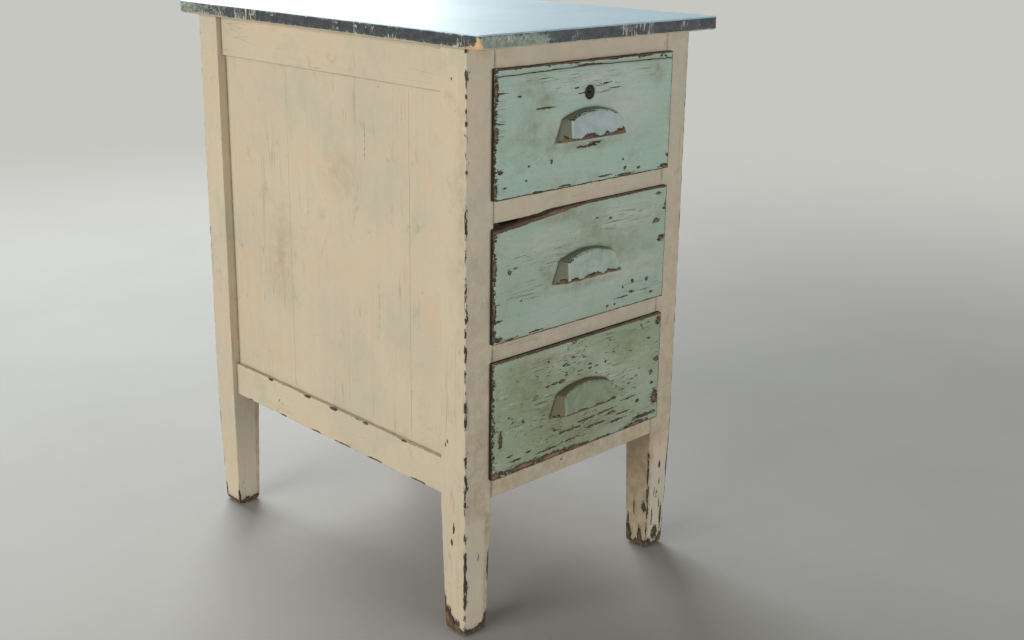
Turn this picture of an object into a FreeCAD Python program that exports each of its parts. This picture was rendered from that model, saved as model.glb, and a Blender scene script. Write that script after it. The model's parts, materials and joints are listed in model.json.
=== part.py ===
import FreeCAD, Part
import math
import os

# Painted three-drawer cabinet on four tapered legs, with frame and panel sides, lipped drawer fronts
# and half-moon wooden pulls. Millimetres, +Z up, the drawers face -Y.
# The origin is on the floor, under the middle of the top board.

# Top board
top_thickness = 17.0
overhang_side = 13.0
overhang_front = 36.0
overhang_back = 30.0
top_corner_radius = 6.0
top_edge_bevel = 1.5

# Posts
frame_depth = 560.0
post_size = 44.0
post_corner_radius = 1.5
leg_height = 183.0
leg_taper = 4.0
taper_below_rails = 8.0
foot_bevel = 2.5

# Drawer openings and the rails across the front
drawer_count = 3
opening_width = 306.0
opening_height = 145.0
top_rail_height = 31.0
middle_rail_height = 32.0
bottom_rail_height = 30.0
front_rail_depth = 40.0
front_tenon_thickness = 12.0
front_tenon_inset = 8.0
front_tenon_shoulder = 6.0
tenon_wall = 3.0

# Rails and panels of the sides and the back
side_top_rail_height = 55.0
side_bottom_rail_height = 48.0
side_rail_thickness = 22.0
side_rail_recess = 8.0
side_tenon_thickness = 8.0
side_tenon_length = 20.0
side_tenon_shoulder = 9.0
panel_thickness = 6.0
panel_recess = 13.5
panel_groove_depth = 8.0
panel_end_gap = 0.5

# Runners under the drawers and kickers above the top one
runner_ledge_width = 23.0
guide_height = 20.0
runner_tenon_length = 10.0
runner_tenon_inset = 2.0
runner_tenon_shoulder = 6.0

# Blocks glued into the corners under the top board
block_leg = 24.0
block_length = 70.0
block_from_post = 60.0

# Drawers
drawer_side_gap = 1.5
drawer_under_gap = 0.3
drawer_over_gap = 3.0
drawer_rear_gap = 12.0
lip_overlap = 4.5
lip_thickness = 7.0
lip_edge_bevel = 1.0
lip_gap = 0.3
front_thickness = 19.0
box_thickness = 12.0
corner_joint_depth = 8.0
bottom_thickness = 5.0
bottom_groove_depth = 6.0
bottom_above_edge = 8.0
box_back_inset = 6.0
box_back_drop = 6.0

# The strip of the top drawer's lip that was nailed back on
strip_drop_left = 9.2
strip_drop_middle = 6.6
strip_drop_right = 8.8
strip_seam = 0.3
strip_nail_from_right = 16.5
strip_nail_spacing = 8.0
strip_nail_drop = 4.0
strip_nail_length = 13.0

# The piece that is missing from the second drawer's lip
break_depth = 14.5
break_length = 160.0
break_rise_through = 5.0

# Half-moon pulls
pull_half_width = 60.0
pull_height = 39.0
pull_straight = 6.0
pull_corner = 27.0
pull_depth = 20.0
pull_top_depth = 9.0
pull_draft = 4.0
pull_end_slope = 0.5
pull_end_lean = 0.4
pull_edge_bevel = 1.2
recess_half_width = 38.0
recess_height = 24.0
recess_corner = 16.0
recess_front_wall = 7.0
pull_screw_from_middle = 43.0
pull_screw_above_base = 13.0
pull_screw_length = 28.0

# Lock of the top drawer
key_below_opening_top = 35.0
barrel_radius = 9.0
barrel_recess = 1.0
plug_radius = 6.5
plug_play = 0.1
key_slot_length = 7.0
key_slot_width = 1.8
key_slot_depth = 8.0
lock_plate_thickness = 1.5
lock_plate_half_width = 30.0
lock_plate_below_key = 20.0
lock_plate_above_key = 28.0
lock_wall = 1.5
lock_cavity_depth = 6.2
lock_cavity_below_key = 12.5
lock_cavity_above_key = 24.5
bolt_half_width = 12.0
bolt_head_half_width = 9.0
bolt_thickness = 3.2
bolt_below_key = 9.0
bolt_above_key = 13.0
bolt_top_gap = 3.5
bolt_mortise_depth = 6.0
bolt_mortise_play = 0.6
cam_disc_radius = 7.5
cam_disc_thickness = 1.5
cam_pin_radius = 1.3
cam_pin_offset = 5.0
cam_play = 0.35
lock_play = 0.3
lock_screw_from_middle = 24.0
lock_screw_above_key = 4.0
lock_screw_length = 13.0

# Screws and nails
wood_screw_radius = 2.0
wood_screw_head_radius = 4.0
small_screw_radius = 1.4
small_screw_head_radius = 2.8
screw_sides = 8
nail_width = 2.4
nail_length = 28.0
nail_from_edge = 20.0
hole_play = 0.1
joint_play = 0.1

# Places that follow from the sizes
x_in = opening_width / 2
x_out = x_in + post_size
top_half_width = x_out + overhang_side
top_depth = frame_depth + overhang_front + overhang_back
y_front = -top_depth / 2 + overhang_front
y_back = y_front + frame_depth
y_post_front = y_front + post_size
y_post_back = y_back - post_size
x_rail_inner = x_out - side_rail_recess - side_rail_thickness
y_back_rail_inner = y_back - side_rail_recess - side_rail_thickness
stack_height = drawer_count * opening_height + (drawer_count - 1) * middle_rail_height
post_top = leg_height + bottom_rail_height + stack_height + top_rail_height
z_side_bottom = (leg_height, leg_height + side_bottom_rail_height)
z_side_top = (post_top - side_top_rail_height, post_top)

y_lip_back = y_front - lip_gap
y_face = y_lip_back - lip_thickness
y_inner = y_face + front_thickness
y_box_end = y_back_rail_inner - drawer_rear_gap
x_box = x_in - drawer_side_gap
x_lip = x_in + lip_overlap

y_plate = y_inner + lock_plate_thickness
y_cavity = y_plate + lock_cavity_depth
y_bolt_front = y_plate + cam_disc_thickness + 2 * lock_play
y_bolt = (y_bolt_front, y_bolt_front + bolt_thickness)
cam_reach = cam_pin_offset * math.sin(math.radians(45))


def vec(x, y, z):
    return FreeCAD.Vector(x, y, z)


def box(x, y, z, grow=0.0):
    """Solid between three pairs of coordinates, grown on every side."""
    low = vec(x[0] - grow, y[0] - grow, z[0] - grow)
    return Part.makeBox(x[1] - x[0] + 2 * grow, y[1] - y[0] + 2 * grow, z[1] - z[0] + 2 * grow, low)


def both(half):
    return (-half, half)


def mirrored(shape):
    """The same shape on the other side of the middle plane."""
    return shape.mirror(vec(0, 0, 0), vec(1, 0, 0))


def rod(start, direction, radius, length):
    return Part.makeCylinder(radius, length, start, direction)


def joined(shapes):
    return shapes[0].fuse(shapes[1:]).removeSplitter()


def save(name, *solids):
    """Write one node: a single solid, or a group of like ones."""
    found = [s for shape in solids for s in shape.Solids]
    shape = found[0] if len(found) == 1 else Part.makeCompound(found)
    shape.exportStep("parts/" + name + ".step")


def save_pair(name, left):
    save(name + "_left", left)
    save(name + "_right", mirrored(left))


def outline(x, y, z, radii):
    """Rectangle at height z whose corners, from (x0, y0) counterclockwise, have the radii given."""
    corners = [vec(x[0], y[0], z), vec(x[1], y[0], z), vec(x[1], y[1], z), vec(x[0], y[1], z)]
    starts, ends, arcs = [], [], []
    for i, corner in enumerate(corners):
        back = (corners[i - 1] - corner).normalize()
        ahead = (corners[(i + 1) % 4] - corner).normalize()
        start = corner + back * radii[i]
        end = corner + ahead * radii[i]
        middle = corner + (back + ahead) * radii[i] * (1 - math.sqrt(0.5))
        starts.append(start)
        ends.append(end)
        arcs.append([Part.Arc(start, middle, end).toShape()] if radii[i] > 0 else [])
    edges = []
    for i in range(4):
        edges += arcs[i] + [Part.LineSegment(ends[i], starts[(i + 1) % 4]).toShape()]
    return Part.Wire(edges)


def prism(points, direction):
    """Solid swept from a flat outline of straight edges."""
    return Part.Face(Part.makePolygon(points + points[:1])).extrude(direction)


def driven(shape, point, direction):
    """Turn a shape that stands on the origin to start at a point and go in a direction."""
    shape.Placement = FreeCAD.Placement(point, FreeCAD.Rotation(vec(0, 0, 1), direction))
    return shape


def screw_section(radius, height):
    """Outline of a screw, drawn with a few flat sides instead of round."""
    angles = [2 * math.pi * i / screw_sides for i in range(screw_sides)]
    return [vec(radius * math.cos(angle), radius * math.sin(angle), height) for angle in angles]


def screw(point, direction, radius, head_radius, length, grow):
    """Countersunk screw with its head's face at the point."""
    wide = screw_section(head_radius + grow, 0)
    narrow = screw_section(radius + grow, head_radius - radius)
    head = Part.makeLoft([Part.makePolygon(ring + ring[:1]) for ring in (wide, narrow)], True, True)
    shank = prism(screw_section(radius + grow, 0), vec(0, 0, length + grow))
    return driven(joined([head, shank]), point, direction)


def nail(point, direction, length, grow):
    """Cut nail of square section with its flat head at the point."""
    half = nail_width / 2 + grow
    shank = Part.makeBox(2 * half, 2 * half, length + grow, vec(-half, -half, 0))
    return driven(shank, point, direction)


def solids(fixings, grow=0.0):
    """Screws or nails, each given as its maker and that maker's sizes."""
    return [make(*sizes, grow) for make, *sizes in fixings]


def drill(shape, fixings):
    return shape.cut(solids(fixings, hole_play))


def rails_and_openings():
    """Heights of the front rails and of the openings between them, from the top down."""
    rails = [(leg_height, leg_height + bottom_rail_height)]
    openings = []
    for i in range(drawer_count):
        low = rails[-1][1]
        high = low + opening_height
        openings.append((low, high))
        last = i == drawer_count - 1
        rails.append((high, high + (top_rail_height if last else middle_rail_height)))
    return rails[::-1], openings[::-1]


rail_heights, openings = rails_and_openings()


# Joints of the frame, each as the three pairs of coordinates of its tenon or groove on the left side


def front_tenon(z):
    x_tip = x_rail_inner + (side_rail_thickness - side_tenon_thickness) / 2 - tenon_wall
    y = y_front + front_tenon_inset
    up = (z[0] + front_tenon_shoulder, z[1] - front_tenon_shoulder)
    return (-x_tip, -x_in), (y, y + front_tenon_thickness), up


def side_tenons(z):
    x = -x_rail_inner - (side_rail_thickness + side_tenon_thickness) / 2
    across = (x, x + side_tenon_thickness)
    up = (z[0] + side_tenon_shoulder, z[1] - side_tenon_shoulder)
    ahead = (y_post_front - side_tenon_length, y_post_front)
    behind = (y_post_back, y_post_back + side_tenon_length)
    return [(across, ahead, up), (across, behind, up)]


def back_tenon(z):
    x_tip = x_rail_inner + (side_rail_thickness - side_tenon_thickness) / 2 - tenon_wall
    y = y_back_rail_inner + (side_rail_thickness - side_tenon_thickness) / 2
    up = (z[0] + side_tenon_shoulder, z[1] - side_tenon_shoulder)
    return (-x_tip, -x_in), (y, y + side_tenon_thickness), up


def runner_tenons(z):
    across = (-x_rail_inner + runner_tenon_inset, -x_in - runner_tenon_inset)
    up = (z[0] + runner_tenon_shoulder, z[1] - runner_tenon_shoulder)
    ahead = (y_post_front - runner_tenon_length, y_post_front)
    behind = (y_post_back, y_post_back + runner_tenon_length)
    return [(across, ahead, up), (across, behind, up)]


def panel_groove():
    """Pocket for the side panel in the posts and rails round it."""
    x = -x_out + panel_recess
    along = (y_post_front - panel_groove_depth, y_post_back + panel_groove_depth)
    up = (z_side_bottom[1] - panel_groove_depth, z_side_top[0] + panel_groove_depth)
    return (x, x + panel_thickness), along, up


def back_groove():
    y = y_back - panel_recess - panel_thickness
    up = (z_side_bottom[1] - panel_groove_depth, z_side_top[0] + panel_groove_depth)
    return both(x_in + panel_groove_depth), (y, y + panel_thickness), up


def cut_groove(shape, groove, thin_axis):
    """Cut a panel's groove, a little wider than the panel."""
    spans = [list(span) for span in groove]
    spans[thin_axis][0] -= joint_play
    spans[thin_axis][1] += joint_play
    return shape.cut(box(*spans))


def panel(groove, thin_axis):
    """The panel that fills a groove, short of its bottom all round."""
    spans = [list(span) for span in groove]
    for axis in range(3):
        if axis != thin_axis:
            spans[axis][0] += panel_end_gap
            spans[axis][1] -= panel_end_gap
    return box(*spans)


def post(y, outer_corner):
    """Left post over the depth y, square down to the taper, its outer corner rounded and its foot bevelled."""
    x = (-x_out, -x_in)
    z_taper = leg_height - taper_below_rails
    radii = [post_corner_radius if i == outer_corner else 0.0 for i in range(4)]

    def section(z, inset):
        return outline((x[0] + inset, x[1] - inset), (y[0] + inset, y[1] - inset), z, radii)

    sole = section(0, leg_taper + foot_bevel)
    ankle = section(foot_bevel, leg_taper)
    knee = section(z_taper, 0)
    shaft = Part.Face(knee).extrude(vec(0, 0, post_top - z_taper))
    foot = [Part.makeLoft(pair, True, True) for pair in ([sole, ankle], [ankle, knee])]
    blank = joined([shaft] + foot)
    tenons = side_tenons(z_side_top) + side_tenons(z_side_bottom)
    for z in rail_heights:
        tenons += runner_tenons(z)
    tenons += [front_tenon(z) for z in rail_heights]
    tenons += [back_tenon(z_side_top), back_tenon(z_side_bottom)]
    blank = blank.cut([box(*spans, grow=joint_play) for spans in tenons])
    return cut_groove(cut_groove(blank, panel_groove(), 0), back_groove(), 1)


def front_rail(z):
    tenon = box(*front_tenon(z))
    return joined([box(both(x_in), (y_front, y_front + front_rail_depth), z), tenon, mirrored(tenon)])


def side_rail(z):
    blank = box((-x_out + side_rail_recess, -x_rail_inner), (y_post_front, y_post_back), z)
    return cut_groove(joined([blank] + [box(*spans) for spans in side_tenons(z)]), panel_groove(), 0)


def back_rail(z):
    tenon = box(*back_tenon(z))
    blank = box(both(x_in), (y_back_rail_inner, y_back - side_rail_recess), z)
    return cut_groove(joined([blank, tenon, mirrored(tenon)]), back_groove(), 1)


def runner(z):
    """Left bearer between two posts, whose inner part reaches under the drawer's side."""
    outer = box((-x_rail_inner, -x_in), (y_post_front, y_post_back), z)
    inner = box((-x_in, -x_in + runner_ledge_width), (y_front + front_rail_depth, y_post_back), z)
    return joined([outer, inner] + [box(*spans) for spans in runner_tenons(z)])


def guided_runner(z):
    """Runner with the upstand that keeps a drawer straight."""
    guide = box((-x_rail_inner, -x_in), (y_post_front, y_post_back), (z[1], z[1] + guide_height))
    return joined([runner(z), guide])


def top_board():
    wire = outline(both(top_half_width), both(top_depth / 2), post_top, [top_corner_radius] * 4)
    board = Part.Face(wire).extrude(vec(0, 0, top_thickness))
    rims = [edge for edge in board.Edges if edge.BoundBox.ZLength < top_thickness / 2]
    return board.makeChamfer(top_edge_bevel, rims)


def glue_block(corner, inward, along):
    """Three-cornered block under the top board, from the corner it is glued in."""
    return prism([corner, corner + inward * block_leg, corner - vec(0, 0, block_leg)], along * block_length)


def glue_blocks():
    """Blocks along both kickers and at the middle of the front and back rails."""
    kicker_face = -x_in + runner_ledge_width
    middle = -block_length / 2
    ends = (y_post_front + block_from_post, y_post_back - block_from_post - block_length)
    left = [glue_block(vec(kicker_face, y, post_top), vec(1, 0, 0), vec(0, 1, 0)) for y in ends]
    front = glue_block(vec(middle, y_front + front_rail_depth, post_top), vec(0, 1, 0), vec(1, 0, 0))
    back = glue_block(vec(middle, y_back_rail_inner, post_top), vec(0, -1, 0), vec(1, 0, 0))
    return left + [mirrored(shape) for shape in left] + [front, back]


# Lock of the top drawer, whose key turns about the line through its centre


def key_centre(opening):
    return opening[1] - key_below_opening_top


def bolt_spans(opening):
    """Coordinates of the bolt's head, from its plate to its upper end."""
    z = key_centre(opening)
    return both(bolt_head_half_width), y_bolt, (z + bolt_above_key, opening[1] - bolt_top_gap)


def lock_screws(opening):
    z = key_centre(opening) + lock_screw_above_key
    sizes = (small_screw_radius, small_screw_head_radius, lock_screw_length)
    return [(screw, vec(x, y_plate, z), vec(0, -1, 0), *sizes) for x in both(lock_screw_from_middle)]


def lock_case(opening):
    """Barrel, mounting plate and the box that the bolt slides in, with holes for the plug and the bolt."""
    z = key_centre(opening)
    up = (z - lock_plate_below_key, z + lock_plate_above_key)
    plate = box(both(lock_plate_half_width), (y_inner, y_plate), up)
    cavity_x = both(bolt_half_width + lock_play)
    cavity_z = (z - lock_cavity_below_key, z + lock_cavity_above_key)
    shell_x = both(bolt_half_width + lock_play + lock_wall)
    shell_z = (cavity_z[0] - lock_wall, cavity_z[1] + lock_wall)
    shell = box(shell_x, (y_plate, y_cavity + lock_wall), shell_z)
    start = vec(0, y_face + barrel_recess, z)
    barrel = rod(start, vec(0, 1, 0), barrel_radius, y_inner - start.y)
    case = joined([plate, shell, barrel])
    case = case.cut(box(cavity_x, (y_plate, y_cavity), cavity_z))
    case = case.cut(rod(start, vec(0, 1, 0), plug_radius + plug_play, y_plate - start.y))
    case = case.cut(box(*bolt_spans(opening), grow=lock_play))
    return drill(case, lock_screws(opening))


def lock_plug(opening):
    """Plug with its key slot, the disc that keeps it in and the pin that lifts the bolt."""
    z = key_centre(opening)
    start = vec(0, y_face + barrel_recess, z)
    y_disc = y_plate + lock_play
    plug = rod(start, vec(0, 1, 0), plug_radius, y_disc - start.y)
    disc = rod(vec(0, y_disc, z), vec(0, 1, 0), cam_disc_radius, cam_disc_thickness)
    pin_start = vec(-cam_reach, y_disc, z - cam_reach)
    pin = rod(pin_start, vec(0, 1, 0), cam_pin_radius, y_bolt[1] - y_disc)
    slot_z = (z - key_slot_width / 2, z + key_slot_width / 2)
    slot = box(both(key_slot_length / 2), (start.y, start.y + key_slot_depth), slot_z)
    return joined([plug, disc, pin]).cut(slot)


def lock_bolt(opening):
    """Bolt at rest, with the slot that its cam pin works in."""
    z = key_centre(opening)
    plate = box(both(bolt_half_width), y_bolt, (z - bolt_below_key, z + bolt_above_key))
    reach = cam_pin_radius + cam_play
    slot_x = (-cam_pin_offset - reach, -cam_reach + reach)
    slot = box(slot_x, y_bolt, (z - cam_reach - reach, z - cam_reach + reach))
    return joined([plate, box(*bolt_spans(opening))]).cut(slot)


def front_top_rail():
    """Top rail with the mortise that the bolt shoots into."""
    x, y, _ = bolt_spans(openings[0])
    z = rail_heights[0]
    mortise = box(
        (x[0] - bolt_mortise_play, x[1] + bolt_mortise_play),
        (y[0] - bolt_mortise_play, y[1] + bolt_mortise_play),
        (z[0], z[0] + bolt_mortise_depth),
    )
    return front_rail(z).cut(mortise)


# Pulls


def arch(half_width, height, straight, corner, inset, y, z):
    """Half-moon outline at depth y: straight foot and sides, round corners and a flatter crown."""
    a = half_width - inset
    r = corner - inset
    rise = height - inset - straight
    crown = (a * a + rise * rise - 2 * a * r) / (2 * (rise - r))
    lean = math.atan2(crown - rise, a - r)

    def at(x, up):
        return vec(x, y, z + up)

    def corner_point(angle):
        return a - r + r * math.cos(angle), straight + r * math.sin(angle)

    touch = corner_point(lean)
    middle = corner_point(lean / 2)
    edges = [
        Part.LineSegment(at(-a, inset), at(a, inset)),
        Part.LineSegment(at(a, inset), at(a, straight)),
        Part.Arc(at(a, straight), at(*middle), at(*touch)),
        Part.Arc(at(*touch), at(0, straight + rise), at(-touch[0], touch[1])),
        Part.Arc(at(-touch[0], touch[1]), at(-middle[0], middle[1]), at(-a, straight)),
        Part.LineSegment(at(-a, straight), at(-a, inset)),
    ]
    return Part.Wire([edge.toShape() for edge in edges])


def behind_slope(z, back_by):
    """Space behind the pull's sloping face, moved back towards the drawer."""
    low = vec(0, y_face - pull_depth + back_by, z + pull_draft)
    high = vec(0, y_face - pull_top_depth + back_by, z + pull_height)
    run = high - low
    start = low - run
    end = high + run
    points = [start, end, vec(0, y_face, end.z), vec(0, y_face, start.z)]
    shift = vec(-pull_half_width, 0, 0)
    return prism([p + shift for p in points], vec(2 * pull_half_width, 0, 0))


def between_ends(z):
    """Space between the pull's flat ends, which slope inwards to the front and lean inwards to the top."""
    def half_width(out, up):
        return pull_half_width - pull_end_slope * out - pull_end_lean * up

    def section(out):
        y = y_face - out
        low = half_width(out, 0)
        high = half_width(out, pull_height)
        corners = [(-low, 0), (low, 0), (high, pull_height), (-high, pull_height)]
        return Part.makePolygon([vec(x, y, z + up) for x, up in corners + corners[:1]])

    return Part.makeLoft([section(0), section(pull_depth)], True, True)


def pull_base(opening):
    """Height of a pull's foot, which puts the pull at the middle of its front."""
    return (opening[0] + opening[1] - pull_height) / 2


def pull_screws(opening):
    z = pull_base(opening) + pull_screw_above_base
    sizes = (wood_screw_radius, wood_screw_head_radius, pull_screw_length)
    return [(screw, vec(x, y_inner, z), vec(0, -1, 0), *sizes) for x in both(pull_screw_from_middle)]


def pull(opening):
    z = pull_base(opening)
    sizes = (pull_half_width, pull_height, pull_straight, pull_corner)
    wires = [arch(*sizes, 0, y_face, z), arch(*sizes, pull_draft, y_face - pull_depth, z)]
    block = Part.makeLoft(wires, True, True).common(behind_slope(z, 0.0)).common(between_ends(z))
    face = min(block.Faces, key=lambda f: f.CenterOfMass.y)
    block = block.makeChamfer(pull_edge_bevel, face.Edges)
    hollow = arch(recess_half_width, recess_height, pull_straight, recess_corner, 0, y_face, z)
    hollow = Part.Face(hollow).extrude(vec(0, -pull_depth, 0)).common(behind_slope(z, recess_front_wall))
    return drill(block.cut(hollow), pull_screws(opening))


# Drawers


def bottom_spans(opening):
    """Coordinates of the drawer's bottom, which runs in grooves and under the back."""
    z = opening[0] + drawer_under_gap + bottom_above_edge
    half = x_box - box_thickness + bottom_groove_depth
    return both(half), (y_inner - bottom_groove_depth, y_box_end), (z, z + bottom_thickness)


def cut_bottom_groove(shape, opening):
    return shape.cut(box(*bottom_spans(opening), grow=joint_play))


def box_height(opening):
    return opening[0] + drawer_under_gap, opening[1] - drawer_over_gap


def drawer_nails(opening):
    """Nails on the left, through the side into the front and the back."""
    low, high = box_height(opening)
    y_joint = y_inner - corner_joint_depth / 2
    y_back_board = y_box_end - box_back_inset - box_thickness / 2
    front_places = [(y_joint, z) for z in (low + nail_from_edge, (low + high) / 2, high - nail_from_edge)]
    back_places = [(y_back_board, z) for z in (low + 2 * nail_from_edge, high - 2 * nail_from_edge)]
    return [(nail, vec(-x_box, y, z), vec(1, 0, 0), nail_length) for y, z in front_places + back_places]


def drill_both_ends(shape, fixings):
    return mirrored(drill(mirrored(drill(shape, fixings)), fixings))


def front_board(opening):
    """Front with its lip, the rebates for the sides and the groove for the bottom."""
    lip_height = (opening[0] - lip_overlap, opening[1] + lip_overlap)
    lip = box(both(x_lip), (y_face, y_lip_back), lip_height)
    rim = min(lip.Faces, key=lambda f: f.CenterOfMass.y).Edges
    lip = lip.makeChamfer(lip_edge_bevel, rim)
    board = joined([lip, box(both(x_box), (y_lip_back, y_inner), box_height(opening))])
    rebate_y = (y_inner - corner_joint_depth, y_inner)
    rebate = box((-x_box, -x_box + box_thickness), rebate_y, box_height(opening))
    board = board.cut([rebate, mirrored(rebate)])
    board = cut_bottom_groove(board, opening)
    return drill(drill_both_ends(board, drawer_nails(opening)), pull_screws(opening))


def side_board(opening):
    along = (y_inner - corner_joint_depth, y_box_end)
    board = box((-x_box, -x_box + box_thickness), along, box_height(opening))
    return drill(cut_bottom_groove(board, opening), drawer_nails(opening))


def back_board(opening):
    low = bottom_spans(opening)[2][1]
    high = box_height(opening)[1] - box_back_drop
    y = y_box_end - box_back_inset
    board = box(both(x_box - box_thickness), (y - box_thickness, y), (low, high))
    return drill_both_ends(board, drawer_nails(opening))


def split_strip(board, opening):
    """Part the upper lip from a front along its crack, and give back the front and the strip."""
    top = opening[1] + lip_overlap
    crack = [(-x_lip, strip_drop_left), (0.0, strip_drop_middle), (x_lip, strip_drop_right)]
    points = [vec(x, y_face, top - drop) for x, drop in crack]
    points += [vec(x_lip, y_face, top), vec(-x_lip, y_face, top)]
    above = prism(points, vec(0, lip_thickness, 0))
    strip = board.common(above)
    seam = above.copy()
    seam.translate(vec(0, 0, -strip_seam))
    front = board.cut([above, seam])
    return drill(front, strip_nails(opening)), drill(strip, strip_nails(opening))


def strip_nails(opening):
    """Nails driven down through the strip into the front's thickness."""
    z = opening[1] + lip_overlap - strip_nail_drop
    slant = vec(0, 1, -1).normalize()
    places = [x_lip - strip_nail_from_right - i * strip_nail_spacing for i in range(2)]
    return [(nail, vec(x, y_face, z), slant, strip_nail_length) for x in places]


def break_lip(board, opening):
    """Break the left half of the upper lip away, along one sloping surface."""
    top = opening[1] + lip_overlap
    rise_along = break_depth / break_length
    rise_through = break_rise_through / lip_thickness

    def on_break(x, y):
        return vec(x, y, top - break_depth + (x + x_lip) * rise_along + (y - y_face) * rise_through)

    x_end = -x_lip + break_length
    corners = [(-x_lip, y_face), (x_end, y_face), (x_end, y_inner), (-x_lip, y_inner)]
    missing = prism([on_break(x, y) for x, y in corners], vec(0, 0, 2 * break_depth))
    return board.cut(missing)


def save_drawer(number, opening):
    name = "drawer_" + str(number)
    front = front_board(opening)
    if number == 1:
        centre = vec(0, y_face, key_centre(opening))
        hole = rod(centre, vec(0, 1, 0), barrel_radius + hole_play, front_thickness)
        front = drill(front.cut(hole), lock_screws(opening))
        front, strip = split_strip(front, opening)
        save("drawer_1_lip_strip", strip)
        save("drawer_1_strip_nails", *solids(strip_nails(opening)))
        save("lock_case", lock_case(opening))
        save("lock_plug", lock_plug(opening))
        save("lock_bolt", lock_bolt(opening))
        save("lock_screws", *solids(lock_screws(opening)))
    if number == 2:
        front = break_lip(front, opening)
    nails = solids(drawer_nails(opening))
    save(name + "_front", front)
    save_pair(name + "_side", side_board(opening))
    save(name + "_back", back_board(opening))
    save(name + "_bottom", box(*bottom_spans(opening)))
    save(name + "_nails", *nails, *[mirrored(shape) for shape in nails])
    save(name + "_pull", pull(opening))
    save(name + "_pull_screws", *solids(pull_screws(opening)))


def save_frame():
    save_pair("post_front", post((y_front, y_post_front), 0))
    save_pair("post_back", post((y_post_back, y_back), 3))
    save_pair("side_top_rail", side_rail(z_side_top))
    save_pair("side_bottom_rail", side_rail(z_side_bottom))
    save_pair("side_panel", panel(panel_groove(), 0))
    save("back_top_rail", back_rail(z_side_top))
    save("back_bottom_rail", back_rail(z_side_bottom))
    save("back_panel", panel(back_groove(), 1))
    save("front_top_rail", front_top_rail())
    for number, z in enumerate(rail_heights[1:-1], 1):
        save("front_rail_" + str(number), front_rail(z))
    save("front_bottom_rail", front_rail(rail_heights[-1]))
    for number, z in enumerate(rail_heights[1:], 1):
        save_pair("runner_" + str(number), guided_runner(z))
    save_pair("kicker", runner(rail_heights[0]))
    save("top_board", top_board())
    save("top_glue_blocks", *glue_blocks())


os.makedirs("parts", exist_ok=True)
save_frame()
for number, opening in enumerate(openings, 1):
    save_drawer(number, opening)
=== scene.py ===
import json
import math

import bmesh
import bpy
import numpy as np
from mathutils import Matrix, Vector, noise
from mathutils.bvhtree import BVHTree
from mathutils.kdtree import KDTree


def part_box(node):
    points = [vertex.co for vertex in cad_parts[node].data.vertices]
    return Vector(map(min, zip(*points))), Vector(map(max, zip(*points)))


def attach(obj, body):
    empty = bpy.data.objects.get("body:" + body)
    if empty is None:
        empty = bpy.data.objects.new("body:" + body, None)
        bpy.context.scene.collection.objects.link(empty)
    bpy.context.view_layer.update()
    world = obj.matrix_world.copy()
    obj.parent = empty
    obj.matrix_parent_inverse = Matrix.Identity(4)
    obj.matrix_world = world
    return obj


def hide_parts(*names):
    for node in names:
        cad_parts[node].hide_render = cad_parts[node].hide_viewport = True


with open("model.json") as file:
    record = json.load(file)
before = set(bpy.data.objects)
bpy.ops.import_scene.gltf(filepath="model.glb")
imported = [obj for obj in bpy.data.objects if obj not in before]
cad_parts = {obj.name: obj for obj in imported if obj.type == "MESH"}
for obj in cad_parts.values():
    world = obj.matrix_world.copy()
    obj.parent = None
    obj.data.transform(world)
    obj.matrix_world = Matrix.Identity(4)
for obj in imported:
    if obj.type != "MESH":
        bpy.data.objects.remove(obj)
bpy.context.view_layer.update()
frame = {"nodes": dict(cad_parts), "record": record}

# Old painted cabinet: every CAD node is dressed as worn, painted or bare wood or as old metal.
# Metres, in the frame of the CAD model: +Z up, the drawers face -Y. Marks are listed in millimetres.

MM = 0.001

# Camera, as the photograph's was
CAMERA_PLACE = (-1.1786, -1.3632, 0.9016)
CAMERA_TURN = (1.2950, -0.0126, -0.7682)
CAMERA_LENS = 46.03
CAMERA_SHIFT_UP = -0.0488

# Wear along the arrises
ARRIS_SLICES = [1.2 * MM, 2.5 * MM, 4.5 * MM, 8.0 * MM]
ARRIS_REACH = 4.0 * MM
SAME_SIDE = math.cos(math.radians(12))
SHARP_ANGLE = math.radians(25)
# How far the darkening beside neighbouring pieces reaches: partly grime, partly painted shade between parts
GRIME_AND_SHADE_REACH = 4.0 * MM
JOINT_SLICES = [-3.0 * MM, -1.2 * MM, 0.0, 1.2 * MM, 3.0 * MM]

body_of = {node: body for body, nodes in frame["record"]["behaviour"]["bodies"].items() for node in nodes}


def each_way(value):
    """Three numbers, one for each axis, or the one number for all of them."""
    return value if isinstance(value, tuple) else (value,) * 3


def unit(values):
    return np.clip(values, 0, 1)


def rgb(red, green, blue):
    """A colour as it looks, 0 to 255, as the shader's linear colour."""
    shares = [value / 255 for value in (red, green, blue)]
    return tuple(s / 12.92 if s <= 0.04045 else ((s + 0.055) / 1.055) ** 2.4 for s in shares) + (1.0,)


# Materials, node by node


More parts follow.
